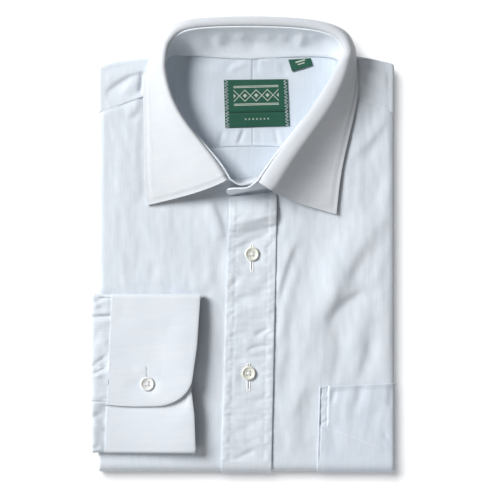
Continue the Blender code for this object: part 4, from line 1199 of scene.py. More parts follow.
# %% Stand
UNDER_END = (
    (11.6, 51.6, 33.0, 11.2, 54.4, 24.0),
    (9.7, 50.4, 37.5, 9.8, 54.8, 19.0),
    (-2.4, 47.6, 39.0, -3.0, 52.7, 18.4),
)
OVER_END = (
    (3.0, 45.6, 39.2, 3.0, 43.1, 19.6),
    (-7.0, 44.9, 38.6, -7.0, 40.9, 19.8),
    (-12.0, 44.4, 36.0, -12.0, 40.6, 21.0),
    (-13.6, 43.6, 31.5, -13.4, 42.0, 26.0),
)
STAND_LEVELS = 22
STAND_STITCH = 2.2
STAND_TOP_STITCH = 3.4
DENT_SHARE = 1.6
# Dents in the stand at the back. Columns: distance round the collar from its right end, height up the
# stand, the dent's half width round and up, its depth
STAND_DENTS = (
    (186, 17, 4, 7, -1.6), (203, 21, 3, 4, -1.1), (214, 12, 5, 6, 0.7), (224, 20, 3, 4, -0.8),
    (236, 19, 3, 5, -0.9), (250, 17, 3.5, 8, -1.9), (259, 21, 3, 4, -0.7), (268, 16, 5, 6, 0.8),
    (283, 21, 3, 4, -1.2), (292, 15, 6, 6, -0.8), (305, 20, 3, 4, -0.9), (318, 13, 6, 7, 0.6),
    (171, 12, 6, 9, -1.1), (330, 20, 3, 4, -0.6),
)


def stand_row(row):
    """Top and foot of the stand where it carries the leaf."""
    centre, out, line = leaf_cut(row)
    top = Vector(row[0:2]).to_3d() + out * (row[13] - ROLL_EDGE)
    return (top.x, top.y, centre.z - ROLL_FOOT - GAP + row[14], *row[3:6])


carrying = [stand_row(row) for row in collar_rows]
under = smooth_rows([*UNDER_END, carrying[0]], COLLAR_STEPS)
over = smooth_rows([carrying[-1], *OVER_END], COLLAR_STEPS)
stand_rows = under[:-1] + carrying + over[1:]


def stand_place(station, level):
    row = stand_rows[int(station)]
    share = level / (STAND_LEVELS - 1)
    return Vector(row[3:6]).lerp(Vector(row[0:3]), share)


stand = Sheet(range(len(stand_rows)), range(STAND_LEVELS), stand_place)
round_collar, up_stand = stand.left[0:1] + 0 * stand.foot, stand.foot
dents = np.zeros(stand.shape)
for at, up, wide, tall, depth in STAND_DENTS:
    dents += depth * np.exp(-(((round_collar - at) / wide) ** 2) - ((up_stand - up) / tall) ** 2)
at_back = within(round_collar, 130, 190, 290, 350)
bow = (1.1 + 3.2 * at_back) * np.sin(pi * np.clip(up_stand / np.maximum(up_stand[-1:], 1), 0, 1))
held = fade(stand.foot, 0, 4) * fade(stand.top, 0, 4)
seam_line = bump(stand.foot - STAND_STITCH, 0.7, -0.25) + pucker(stand.foot - 2, round_collar, 2.5, 0.12, 4.0, 9.0)
stand.lift(-(DENT_SHARE * dents + bow) * held * fade(stand.left, 10, 40) * fade(stand.right, 10, 40) - seam_line)
# The stand takes the cuff's lighter cloth, which is partly painted light
make_cloth("collar_stand_cloth", stand, STAND_WALL, cuff_cloth, ["collar_stand"], offset=0.0, edge=0.4)
print("stand", stand.shape, "round", round(float(stand.left[0, -1])), "mm")

# %% [markdown]
# ## The placket
#
# The buttonhole band is a strip folded at both edges and sewn down 6 mm in from each. Its edges stand up a
# little, its middle is flat, and the two rows of stitches pull it into small ripples that run across. A
# few sharper nicks cross it where it was bent. It is laid on the left front's own height, so it follows
# each soft fold under it.

# %% Placket
# The placket and the pocket are followed this far round the bottom fold
BAND_END_Y = FOOT_Y - TURN_RADIUS * radians(135)
PLACKET_WALL = 1.0
PLACKET_TOP = (-11.8, 26.4)
PLACKET_FOOT = (-17.8, 22.2)
PLACKET_STITCH = 6.2
PLACKET_RISE = 1.05
PLACKET_HEAD = (38.2, 42.8)
PLACKET_DRAWN_Y = 30.0
PLACKET_END_Y = 40.0
PLACKET_LONG_FOLDS = (
    (((30, 27.5), (6, 21), (-16, 14)), 16.0, 6.6, 3.5, 2.0),
    (((26, 14.5), (3, 8), (-16, 3)), 3.6, 8.0, -0.8, 2.0),
    (((20, 8), (5, 2.4), (-3, -1.6), (-14, -6)), 2.6, 6.0, -1.1, 1.8),
    (((19.4, -66.4), (9, -72.8)), 1.8, 2.4, -1.1, 1.6),
    (((23, -70), (18.4, -71.6)), 1.4, 2.0, -0.8, 1.6),
    (((22.6, -79.8), (9.8, -81.4), (2.6, -84.6)), 1.8, 2.4, -1.0, 1.6),
    (((20, -89), (0, -90.5), (-14, -93)), 2.4, 2.8, -0.6, 1.8),
    (((24, 3), (17, -4)), 2.0, 2.4, -0.7, 1.6),
    (((-4, -26), (-12, -36)), 2.4, 2.4, -0.7, 1.8),
    (((9, -164.4), (-1, -168.4), (-9.4, -174)), 2.2, 2.8, -0.9, 1.8),
    (((22, -121), (6, -128)), 2.4, 2.8, -0.5, 1.8),
    (((18, -36), (2, -42), (-10, -44)), 4.0, 5.0, -0.6, 1.8),
    (((22, -52), (8, -50), (-8, -56)), 4.0, 4.0, 0.5, 1.8),
    (((14, -138), (2, -146), (-12, -150)), 4.0, 4.0, -0.5, 1.8),
)
BUTTON_SPOTS = ((6.6, -7.2), (3.9, -102.4))
HOLE_LONG = (7.3, -13.6)
BUTTON_SINK = 1.3
DIMPLE_RADIUS = 8.0
SLIT_HALF = 0.34
SLIT_DEPTH = 0.8


def dimples(x, y, spots):
    """The hollow that each button's thread pulls in the cloth under it."""
    total = np.zeros_like(x)
    for spot_x, spot_y in spots:
        total -= BUTTON_SINK * np.exp(-((np.hypot(x - spot_x, y - spot_y) / DIMPLE_RADIUS) ** 3))
    return total


def placket_edges(y):
    """x of both edges: the band leans a little, and gets wider downwards."""
    down = min(1.0, max(0.0, (PLACKET_DRAWN_Y - y) / (PLACKET_DRAWN_Y - FOOT_Y)))
    return [between(ends, down) for ends in zip(PLACKET_TOP, PLACKET_FOOT)]


def placket_place(share, along):
    left, right = placket_edges(along)
    if along > PLACKET_DRAWN_Y:
        along = stretched(along, PLACKET_DRAWN_Y, PLACKET_END_Y, between(PLACKET_HEAD, share))
    return stack_point(between((left, right), share), along)


across = levels(0, 0.47, 0.53, 1, step=(0.028, 0.01, 0.028))
placket = Sheet(across, levels(BAND_END_Y, FOOT_Y, PLACKET_END_Y, step=(1.5, 0.8)), placket_place)
x, y = x_of(placket), y_of(placket)
on_top = placket.b > FOOT_Y
side_off = np.minimum(placket.left, placket.right)
bed = GAP * 0.5 + PLACKET_RISE
form = bed + bump(side_off - PLACKET_STITCH, 0.7, -0.16)
form = form + 0.16 * within(side_off, 0, 1.2, PLACKET_STITCH - 1.5, PLACKET_STITCH)
form = form + pucker(side_off - PLACKET_STITCH + 1.5, y, 3.6, 0.34, 3.0, 11.0)
form = form + 0.24 * ripple(x, y, 9, 4.5, 12.0) + 0.30 * ripple(x, y, 20, 12, 13.0)
form = form + slumped(x, y, PLACKET_LONG_FOLDS) * fade(y, FOOT_Y - 6, FOOT_Y + 4)
form = np.maximum(form + dimples(x, y, BUTTON_SPOTS), 0.3 - PLACKET_BED * under_placket(x * 1.15 - 0.7, y))
for button_x, button_y in BUTTON_SPOTS:
    top, foot = (button_y + end for end in HOLE_LONG)
    opening = slit(x - button_x, SLIT_HALF) * within(y, foot + 1, foot + 2, top - 2, top - 1)
    form = form - SLIT_DEPTH * opening
placket.lift(np.where(on_top, rest_height(x, y) + fine_height(x, y) * 0.5 + form, bed))
placket.flat += (180, 0)
make_cloth("front_placket_cloth", placket, PLACKET_WALL, cloth, ["front_placket"], edge=0.4)

# %% [markdown]
# ## The pocket
#
# A patch pocket is one ply sewn down round its edge, open along its hemmed top. This one has a narrow
# pencil channel at its inner edge: a second row of stitches, with an open mouth above it. A slanted crease
# was pressed into it, and a paler line is painted along its crest.

# %% Pocket
POCKET_WALL = 0.7
POCKET_EDGE_X = (60.5, 58.7)
POCKET_RISE = 0.8
CREST_LINE_SHARE = 0.45
CHANNEL_FOOT_Y = -146.0
POCKET_DRAWN_Y = -125.0
POCKET_ROUND = 0.8
POCKET_STITCH = 1.8
CHANNEL_STITCH = 7.4
POCKET_FOLDS = (
    (74.2, -148.0, 81.0, -151.7, 1.0, 0.32, 1.6),
    (81.0, -151.7, 93.0, -155.6, 1.0, 0.34, 1.6),
    (93.0, -155.6, 112.2, -164.6, 1.0, 0.34, 1.6),
    (73.0, -116.0, 70.6, -126.0, 2.4, -0.9, 1.8),
    (94.6, -112.0, 86.6, -136.0, 4.0, -0.7, 2.0),
    (88.0, -114.0, 82.0, -140.0, 6.0, 0.6, 2.0),
    (104.0, -114.0, 98.0, -136.0, 5.0, 0.5, 2.0),
    (118.0, -112.0, 117.0, -130.0, 3.0, -0.8, 1.8),
    (74.0, -140.0, 70.0, -165.0, 6.0, -0.5, 2.0),
    (63.0, -142.0, 68.0, -140.0, 0.9, -0.45, 1.6),
    (63.0, -145.5, 67.5, -147.5, 0.9, -0.35, 1.6),
    (112.0, -150.0, 118.0, -160.0, 2.0, -0.5, 1.5),
)


def pocket_place(share, along):
    down = (max(along, FOOT_Y) - POCKET_TOP_Y[0]) / (FOOT_Y - POCKET_TOP_Y[0])
    start = between(POCKET_EDGE_X, max(0.0, down))
    flat_end = flat_of(1)
    if share <= 1:
        x = start + (flat_end - start) * share
    else:
        x = flat_end + (side_end(1) - flat_end) * POCKET_ROUND * (share - 1)
    if along > POCKET_DRAWN_Y:
        along = stretched(along, POCKET_DRAWN_Y, POCKET_TOP_Y[0], between(POCKET_TOP_Y, min(1.0, share)))
    return stack_point(x, along)


across = levels(0, 0.16, 1, 2, step=(0.0105, 0.018, 0.1))
pocket = Sheet(across, levels(BAND_END_Y, FOOT_Y, POCKET_TOP_Y[0], step=(1.5, 0.8)), pocket_place)
x, y = x_of(pocket), y_of(pocket)
on_top = (pocket.b > FOOT_Y) & (pocket.points[..., 2] > 16)
near_edge = np.minimum(pocket.left, pocket.top)
bed = GAP * 0.5 + POCKET_RISE
form = bed + bump(near_edge - 0.6, 0.7, 0.22) + bump(pocket.left - POCKET_STITCH, 0.5, -0.3)
form = form + 0.8 * fade(pocket.top, 5.5, 0.3) * fade(pocket.left, 6.5, 9)
in_channel = fade(y, CHANNEL_FOOT_Y, CHANNEL_FOOT_Y + 3)
mouth = within(pocket.left, 0.9, 1.7, 6.3, 6.9) * in_channel * fade(pocket.top, 0.6, 1.6)
form = form - 0.45 * mouth + bump(pocket.left - 6.7, 0.5, -0.55) * in_channel
form = form + bump(pocket.left - 8.2, 0.7, 0.14) * in_channel
form = form + 0.3 * mouth * ripple(x, y, 5, 4, 31.0)
form = form + folds_over(x, y, POCKET_FOLDS) + 0.14 * ripple(x, y, 10, 12, 14.0)
form = form + pucker(pocket.left - POCKET_STITCH, y, 2.6, 0.14, 4.0, 15.0)
above_fold = fade(y, FOOT_Y - 4, FOOT_Y + 3)
form = form * above_fold + (1 - above_fold) * bed
pocket.lift(np.where(on_top, rest_height(x, y) + fine_height(x, y) * 0.6 + form, bed))
pocket.flat += (260, 0)


def on_flat_pocket(x0, y0):
    """Place on the flat pocket, in metres, of the point of its top face nearest to x0, y0 mm."""
    nearest = np.argmin(np.where(on_top, np.hypot(x - x0, y - y0), 999.0))
    return tuple(float(v) * MM for v in pocket.flat.reshape(-1, 2)[nearest])


for x0, y0, x1, y1 in (row[:4] for row in POCKET_FOLDS[:3]):
    add_pale_crest_line(pocket_cloth, on_flat_pocket(x0, y0), on_flat_pocket(x1, y1), CREST_LINE_SHARE)
make_cloth("chest_pocket_cloth", pocket, POCKET_WALL, pocket_cloth, ["chest_pocket"], edge=0.3)

# %% [markdown]
# ## Cuff
#
# A barrel cuff is one stiff strip, three plies thick, buttoned into a loop. Laid flat it makes three
# layers: the end with the button below, the back of the loop under it, and the end with the buttonhole on
# top, its corner rounded. The strip is followed from its hidden end round both folds to the rounded one.

# %% Cuff strip
CUFF_WALL = 1.5
CUFF_FOOT_Y = -166.0
CUFF_LAP_Y = -126.8
CUFF_UNDERLAP_Y = -98.0
CUFF_LAYERS = (20.0, 22.6, 25.2)
CUFF_SEAM_X = (-105.1, -110.9)
CUFF_CORNER = (22.0, 20.0)
CUFF_OVER_EDGE = ((-38.0, -34.4), (-79.6, -37.2), (-104.8, -40.6), (-127.0, -44.0))
CUFF_BACK_EDGE = ((-38.0, -34.6), (-83.0, -36.6), (-104.0, -41.0), (-135.0, -41.0), (-166.0, -38.6))
CUFF_UNDER_EDGE = ((-98.0, -42.6), (-114.0, -42.0), (-135.0, -39.4), (-166.0, -38.2))
CUFF_BUTTON = (-76.8, -110.6)
CUFF_TILT = 1.6
FOOT_PUFF = (1.2, 2.0)
CUFF_CURL = 2.2
LAP_LIFT = 2.0
LAP_BOW = 1.4
CUFF_STITCH = 1.9
CUFF_SLIT_HALF = 0.42
CUFF_FOLDS = (
    (-96.0, -52.0, -60.0, -66.0, 14.0, 0.5, 2.0),
    (-88.0, -100.0, -66.0, -103.0, 6.0, 0.45, 2.0),
    (-90.0, -118.0, -86.0, -102.0, 5.0, -0.35, 2.0),
    (-60.0, -70.0, -52.0, -100.0, 12.0, 0.35, 2.0),
)


def cuff_line():
    """Middle line of the strip: y, z and the hand edge's x, from the underlap to the lap."""
    low, middle, high = CUFF_LAYERS
    half = CUFF_WALL / 2
    line = []
    foot_radius, top_radius = (middle - low) / 2, (high - low) / 2
    foot_centre = CUFF_FOOT_Y + half + foot_radius
    top_centre = CUFF_TOP_Y - half - top_radius
    for y in levels(CUFF_UNDERLAP_Y, foot_centre, step=1.3)[:-1]:
        line.append((y, middle, read_off(CUFF_UNDER_EDGE, y)))
    for turn in levels(0, pi, step=radians(18)):
        y = foot_centre - foot_radius * sin(turn)
        line.append((y, (low + middle) / 2 + foot_radius * cos(turn), read_off(CUFF_BACK_EDGE, y)))
    for y in levels(foot_centre, top_centre, step=4.0)[1:-1]:
        line.append((y, low, read_off(CUFF_BACK_EDGE, y)))
    for turn in levels(0, pi, step=radians(18)):
        y = top_centre + top_radius * sin(turn)
        line.append((y, (low + high) / 2 - top_radius * cos(turn), read_off(CUFF_OVER_EDGE, y)))
    corner_x, corner_y = CUFF_CORNER
    for y in levels(top_centre, CUFF_LAP_Y + corner_y, step=1.3)[1:-1]:
        line.append((y, high, read_off(CUFF_OVER_EDGE, y)))
    for turn in levels(0, pi / 2, step=radians(4)):
        y = CUFF_LAP_Y + corner_y * (1 - sin(turn))
        line.append((y, high, read_off(CUFF_OVER_EDGE, y) - corner_x * (1 - cos(turn))))
    return line


def cuff_seam_x(y):
    return read_off(((CUFF_FOOT_Y, CUFF_SEAM_X[1]), (CUFF_TOP_Y, CUFF_SEAM_X[0])), y)


strip = cuff_line()


def cuff_place(share, row):
    y, z, edge = strip[int(row)]
    left = cuff_seam_x(y)
    return Vector((left + (edge - left) * share, y, z))


across = levels(0, 0.45, 0.52, 1, step=(0.022, 0.008, 0.02))
cuff = Sheet(across, range(len(strip)), cuff_place, flip=True)
x, y = x_of(cuff), y_of(cuff)
face_up = fade(cuff.normals[..., 2], 0.3, 0.9)
over_layer = face_up * (cuff.points[..., 2] > CUFF_LAYERS[1] + 0.5)
hem_off = np.minimum(cuff.right, np.minimum(cuff.top, cuff.foot))
form = bump(hem_off - CUFF_STITCH, 0.5, -0.16) + bump(cuff.left - CUFF_STITCH, 0.5, -0.2)
form = form + 0.25 * fade(hem_off, 0, 1.2) - 0.25
form = form + 0.22 * ripple(x, y, 26, 18, 16.0) * fade(hem_off, 0, 6) + pucker(cuff.left - 2, y, 3, 0.12, 4, 17.0)
lap_sag = bump(x + 88, 26, -0.25) * fade(cuff.top, 10, 0)
form = form + over_layer * (folds_over(x, y, CUFF_FOLDS) + lap_sag + dimples(x, y, (CUFF_BUTTON,)))
tilt = fade(x, -106, -38)
corner_off = np.clip((x - read_off(CUFF_OVER_EDGE, CUFF_LAP_Y) + CUFF_CORNER[0]) / CUFF_CORNER[0], 0, 1)
lap_y = CUFF_LAP_Y + CUFF_CORNER[1] * (1 - np.sqrt(1 - corner_off**2))
puff = fade(y - lap_y, 6.0, -22.0) * (1 - 0.2 * fade(y, -130, -160) - 0.35 * fade(y, -156, -166.5))
puff = puff * between(FOOT_PUFF, tilt) * (cuff.points[..., 2] < CUFF_LAYERS[1] + 0.5)
curl = CUFF_CURL * fade(x, -74, -36) * fade(y, CUFF_TOP_Y, CUFF_TOP_Y - 30)
layer_share = np.clip((cuff.points[..., 2] - CUFF_LAYERS[0]) / (CUFF_LAYERS[2] - CUFF_LAYERS[0]), 0, 1)
cuff.points[..., 2] += layer_share * (CUFF_TILT * tilt + curl + 2 * puff) + LAP_LIFT * tilt * fade(y, -60, -130)
cuff.measure()
slit_y = within(y, CUFF_BUTTON[1] - 2, CUFF_BUTTON[1], CUFF_BUTTON[1] + 12.4, CUFF_BUTTON[1] + 13.4)
form = form - over_layer * slit(x - CUFF_BUTTON[0], CUFF_SLIT_HALF) * slit_y
cuff.lift(form * np.maximum(face_up, 0.15))
cuff.points[..., 1] -= bump(x_of(cuff) + 84, 26, LAP_BOW) * over_layer * fade(cuff.top, 12, 0)
cuff.measure()
cuff.flat = np.stack([cuff.foot, cuff.left], axis=-1)
make_cloth("cuff_cloth", cuff, CUFF_WALL, cuff_cloth, ["cuff"], offset=0.0, edge=0.5)

# %% [markdown]
# ## Sleeve end
#
# Above the cuff the sleeve is a flat tube, pleated into the cuff's seam. It comes up from the groove
# between the two halves of the stack, round the left side, to the cuff. A pleat makes one deep nick, the
# end of the sleeve's slit makes another with its narrow binding, and between them the slack cloth puckers
# like a star.

# %% Sleeve tube
SLEEVE_WALL = 1.0
SLEEVE_SEAM = -0.7
SLEEVE_RUN = (
    (-105.9, 25.1, 6.0),
    (-112.4, 25.2, 6.0),
    (-119.8, 24.9, 5.4),
    (-122.0, 22.2, 4.4),
    (-122.1, 15.8, 3.8),
    (-119.9, 10.9, 3.1),
    (-117.6, 8.9, 2.8),
)
# Folds over the sleeve. Columns: distance from the cuff's seam and y at one end; the same at the other; half
# width; height; crest
SLEEVE_FOLDS = (
    (-1.0, -56.6, 18.0, -57.6, 1.0, -2.0, 1.4),
    (-1.0, -54.0, 18.0, -55.0, 2.0, 0.9, 2.0),
    (-1.0, -60.0, 12.0, -63.0, 3.0, 0.5, 2.0),
    (1.0, -38.5, 14.0, -45.5, 2.2, -1.3, 1.6),
    (6.0, -44.0, 16.0, -50.0, 2.0, 0.8, 1.8),
    (9.0, -68.0, 13.0, -80.0, 3.0, -0.8, 1.8),
    (3.0, -89.0, 14.0, -97.0, 1.7, -1.5, 1.5),
    (0.0, -92.0, 12.0, -99.0, 1.2, -0.9, 1.4),
    (0.0, -96.0, 14.0, -104.0, 1.3, -1.2, 1.4),
    (6.0, -97.0, 16.0, -94.0, 1.6, 0.8, 1.8),
    (2.0, -101.0, 12.0, -101.5, 1.2, -0.8, 1.4),
    (6.0, -104.0, 15.0, -105.0, 1.5, 0.8, 1.8),
    (3.0, -79.0, 12.0, -72.0, 3.5, 0.5, 2.0),
    (3.0, -124.2, 14.0, -124.4, 0.9, -0.9, 1.4),
    (5.0, -134.0, 14.0, -139.0, 2.2, -0.9, 1.6),
    (-1.0, -147.0, 12.0, -143.0, 2.4, 0.6, 2.0),
    (5.0, -161.0, 14.0, -164.0, 1.5, -1.2, 1.4),
    (0.0, -163.0, 6.0, -166.0, 1.4, -0.9, 1.4),
)
GAUNTLET_Y = (-124.4, -97.0)
GAUNTLET_STITCH = 1.6
GAUNTLET_WALL = 0.6
BELOW_LAP = (2.3, 0.8)

sleeve_rows = smooth_rows(SLEEVE_RUN, 6)


def sleeve_frame(i):
    """Outer point, inward direction and thickness at a step of the sleeve's run."""
    x, z, thickness = sleeve_rows[i]
    before, after = sleeve_rows[max(0, i - 1)], sleeve_rows[min(len(sleeve_rows) - 1, i + 1)]
    run = Vector((after[0] - before[0], 0, after[1] - before[1])).normalized()
    return Vector((x, 0, z)), Vector((-run.z, 0, run.x)), thickness


def on_sleeve(i, y, depth):
    """A point under the sleeve's outer side. Its upper end follows the cuff's slanted seam."""
    outer, inward, thickness = sleeve_frame(i)
    point = outer + inward * depth + Vector((0, y, 0))
    fixed = SLEEVE_RUN[3][0]
    if point.x > fixed:
        point.x = stretched(point.x, fixed, SLEEVE_RUN[0][0], cuff_seam_x(y) - SLEEVE_SEAM)
        drop = BELOW_LAP[0] - BELOW_LAP[1] * float(fade(y, -134, -151))
        drop = float(fade(y, CUFF_LAP_Y + 2, CUFF_LAP_Y - 3)) * drop
        point.z -= drop * float(fade(point.x, fixed, -109)) * (1 - depth / thickness)
    return point


def sleeve_ring():
    """Once round the flat tube, as y share and depth share: down the outer side and back up the inner one."""
    ring = [(share, 0.0, 0.0) for share in levels(0, 1, step=0.011)]
    ring += [(1.0, sin(turn), (1 - cos(turn)) / 2) for turn in levels(0, pi, step=radians(30))[1:]]
    ring += [(share, 0.0, 1.0) for share in levels(1, 0, step=0.05)[1:]]
    ring += [(0.0, -sin(turn), (1 + cos(turn)) / 2) for turn in levels(0, pi, step=radians(30))[1:]]
    return ring


ring = sleeve_ring()


def sleeve_place(spot, i):
    share, bulge, depth_share = ring[int(spot)]
    thickness = sleeve_frame(int(i))[2]
    half = thickness / 2
    high, low = CUFF_TOP_Y - 0.4 - half, CUFF_FOOT_Y + 0.4 + half
    return on_sleeve(int(i), high + (low - high) * share - bulge * half, thickness * depth_share)


sleeve = Sheet(range(len(ring)), range(len(sleeve_rows)), sleeve_place, flip=True)
outside = np.array([depth_share == 0 for share, bulge, depth_share in ring])[None, :] & (sleeve.b >= 0)
y = y_of(sleeve)
run_down = sleeve.foot
form = folds_over(run_down, y, SLEEVE_FOLDS) + 0.25 * ripple(run_down, y, 6, 7, 18.0) + 0.2
ends = within(y, CUFF_FOOT_Y + 1, CUFF_FOOT_Y + 6, CUFF_TOP_Y - 5, CUFF_TOP_Y - 1)
sleeve.lift(np.where(outside, form * (0.3 + 0.7 * ends) * fade(run_down, 34, 18), 0.0))
sleeve.flat += (0, 40)
make_cloth("sleeve_cloth", sleeve, SLEEVE_WALL, cloth, ["sleeve"], edge=0, weld=True)

# %% Sleeve placket
def gauntlet_place(share, i):
    return on_sleeve(int(i), between(GAUNTLET_Y, share), 0.0)


gauntlet = Sheet(levels(0, 1, step=0.03), range(len(sleeve_rows) - 8), gauntlet_place)
y, run_down = y_of(gauntlet), gauntlet.foot
form = 0.75 + folds_over(run_down, y, SLEEVE_FOLDS) * 0.9 + 0.25 * ripple(run_down, y, 6, 7, 18.0)
form = form - 0.25 * fade(gauntlet.right, 5, 0) + bump(gauntlet.left - GAUNTLET_STITCH, 0.5, -0.2)
gauntlet.lift(form * fade(run_down, 30, 14))
gauntlet.flat += (0, 80)
make_cloth("sleeve_placket_cloth", gauntlet, GAUNTLET_WALL, cloth, ["sleeve_placket"], edge=0.25)

# %% [markdown]
# ## Woven labels
#
# The neck label is a strip of dark green woven tape, folded across near its foot and sewn down both sides
# with a cream zigzag. A plain pattern of linked lozenges is woven into it. It could be painted as a
# picture; here it is worked out from the label's own flat measures, so each line stays one thread wide.

# %% Label material
LABEL_GREEN = (0.016, 0.100, 0.063)
LABEL_CREAM = (0.62, 0.66, 0.58)
# Colour of the painted shade along the label's fold
LABEL_FOLD_SHADE = (0.004, 0.020, 0.012)
# Places and sizes on the flat tapes, in metres
FOLD_V, FOLD_HALF = 0.0120, 0.0004
PATTERN_MIDDLE = 0.0255
LOZENGE = 0.0045
PATTERN_HALF = 0.0180
RAILS = (0.0066, 0.0076)
LINE_HALF = 0.00042
DOTS_V, DOTS_HALF, DOT_STEP = 0.0064, 0.0100, 0.0015
LOZENGE_HEART, RAIL_HALF, DOT_HALF = 0.0017, 0.0003, 0.0005
GRAIN_SCALE = (3500, 900, 1)
TAB_MIDDLE = 0.0090
TAB_BARS = ((0.0062, 0.0006, 0.0040), (0.0040, 0.0004, 0.0028))


def lozenge_pattern(tree, u, v):
    """A row of linked lozenges between two pairs of rails, over a row of dots."""
    across = math_node(tree, "SUBTRACT", u, PATTERN_MIDDLE)
    high = math_node(tree, "ABSOLUTE", math_node(tree, "SUBTRACT", v, PATTERN_MIDDLE))
    reach = math_node(tree, "ADD", math_node(tree, "PINGPONG", across, LOZENGE), high)
    in_row = band(tree, u, PATTERN_MIDDLE, PATTERN_HALF)
    lines = [band(tree, reach, LOZENGE, LINE_HALF), math_node(tree, "LESS_THAN", reach, LOZENGE_HEART)]
    lines += [band(tree, high, rail, RAIL_HALF) for rail in RAILS]
    dots = masks(tree, math_node(tree, "LESS_THAN", math_node(tree, "PINGPONG", across, DOT_STEP), DOT_HALF),
                 band(tree, v, DOTS_V, 0.0006), band(tree, u, PATTERN_MIDDLE, DOTS_HALF))
    return masks(tree, masks(tree, masks(tree, *lines, operation="MAXIMUM"), in_row), dots, operation="MAXIMUM")


def bar_pattern(tree, u, v):
    """Two plain bars."""
    bars = [masks(tree, band(tree, v, at, thick), band(tree, u, TAB_MIDDLE, half)) for at, thick, half in TAB_BARS]
    return masks(tree, *bars, operation="MAXIMUM")


def make_label_material(name, make_pattern, crease):
    """Green satin tape with a cream pattern woven in. crease is how dark the painted shade along the fold across
    it is.
    """
    material, tree, shader = new_shader(name, Roughness=0.6, Specular_IOR_Level=0.3, Sheen_Weight=0.08)
    uv = tree.nodes.new("ShaderNodeUVMap").outputs["UV"]
    parts = tree.nodes.new("ShaderNodeSeparateXYZ")
    tree.links.new(uv, parts.inputs["Vector"])
    pattern = make_pattern(tree, parts.outputs["X"], parts.outputs["Y"])
    grain = noise_node(tree, mapping_node(tree, uv, GRAIN_SCALE), 1.0, 1.0)
    marked = math_node(tree, "MULTIPLY", pattern, math_node(tree, "ADD", grain, 0.35))
    # shade: a dark line painted along the fold, standing in for the shade in it
    shade = math_node(tree, "MULTIPLY", band(tree, parts.outputs["Y"], FOLD_V, FOLD_HALF), crease)
    colour = mix_node(tree, shade, mix_node(tree, marked, LABEL_GREEN, LABEL_CREAM), LABEL_FOLD_SHADE)
    tree.links.new(colour, shader.inputs["Base Color"])
    lay_weave(tree, shader, uv, 0.08)
    return material


label_tape = make_label_material("green_label_tape", lozenge_pattern, 0.75)
tab_tape = make_label_material("green_tab_tape", bar_pattern, 0.0)
print("label materials", label_tape.name, tab_tape.name)

# %% Labels
LABEL_CORNERS = ((-15.9, 132.2), (34.9, 132.8), (36.7, 95.2), (-14.7, 93.8))
LABEL_WALL = 0.5
LABEL_FOLD_SHARE = 0.31
LABEL_LENGTH = 38.0
LABEL_HEIGHT = YOKE_TOP + 1.35
TAB_HEIGHT = YOKE_TOP + 1.2
TAB_CORNERS = ((35.6, 148.4), (53.6, 149.6), (55.4, 143.8), (38.6, 138.8))


def tag_sheet(corners, base):
    """A label's grid between its four corners, given from its upper left."""
    a, b, c, d = (Vector((*corner, base)) for corner in corners)

    def place(s, t):
        return d.lerp(c, s).lerp(a.lerp(b, s), t)

    return Sheet(levels(0, 1, step=0.02), levels(0, 1, step=0.025), place)


label = tag_sheet(LABEL_CORNERS, LABEL_HEIGHT)
s, t = label.a, label.b
form = 0.55 * np.sin(pi * s) * np.sin(pi * t) ** 0.7 + 0.15 * ripple(x_of(label), y_of(label), 12, 8, 20.0)
from_fold = (t - LABEL_FOLD_SHARE) * LABEL_LENGTH
form = form + bump(from_fold, 0.6, -0.8) + bump(from_fold + 1, 0.8, 0.15)
form = form + bump(np.minimum(label.left, label.right) - 1.8, 1.1, -0.3)
label.lift(form)
make_cloth("neck_label_tape", label, LABEL_WALL, label_tape, ["neck_label"], edge=0.15)
tab = tag_sheet(TAB_CORNERS, TAB_HEIGHT)
tab.lift(0.5 * fade(tab.top, 2, 9) + 0.25 * np.sin(pi * tab.a))
make_cloth("size_tab_tape", tab, LABEL_WALL, tab_tape, ["size_tab"], edge=0.15)

# %% [markdown]
# ## Buttons
#
# A shirt button is a small turned disc with a raised rim, a dished middle and four holes. It is spun from
# its cut, the way it is turned on a lathe, and the holes are then drilled through. Shell is pearly: a pale
# body with slow warm and cool clouds under a polished skin.

# %% Button material
def make_clouded_material(name, dark, light, scale, detail, **values):
    """Two colours in clouds that stay fixed on the piece."""
    material, tree, shader = new_shader(name, **values)
    place = tree.nodes.new("ShaderNodeTexCoord")
    clouds = noise_node(tree, place.outputs["Object"], scale, detail)
    tree.links.new(mix_node(tree, clouds, dark, light), shader.inputs["Base Color"])
    return material, tree, shader, clouds


def make_shell_material(name, cool, warm):
    """Shell polished unevenly: the warm clouds are a little rougher."""
    material, tree, shader, clouds = make_clouded_material(
        name, cool, warm, 260.0, 3.0, Coat_Weight=0.4, Coat_Roughness=0.15
    )
    polish = math_node(tree, "ADD", math_node(tree, "MULTIPLY", clouds, 0.2), 0.22)
    tree.links.new(polish, shader.inputs["Roughness"])
    return material


front_shell = make_shell_material("pearly_shell_warm", (0.72, 0.74, 0.66), (0.88, 0.86, 0.77))
cuff_shell = make_shell_material("pearly_shell_white", (0.84, 0.86, 0.86), (0.92, 0.92, 0.89))
print("button materials", front_shell.name, cuff_shell.name)

# %% Button shape
BUTTON_HEIGHT = 2.6
BUTTON_BED = 0.1
THREAD_LEVEL = 1.75
BUTTON_CRISP = 35
HOLE_RADIUS = 0.75
HOLE_SPREAD = 1.3
BUTTON_CUT = (
    (0.0, 0.0), (3.9, 0.0), (4.8, 0.25), (5.45, 0.75), (5.7, 1.35), (5.62, 1.95), (5.3, 2.4), (4.85, 2.6),
    (4.4, 2.5), (3.95, 2.15), (3.5, 1.85), (2.8, 1.7), (1.4, 1.62), (0.0, 1.6),
)


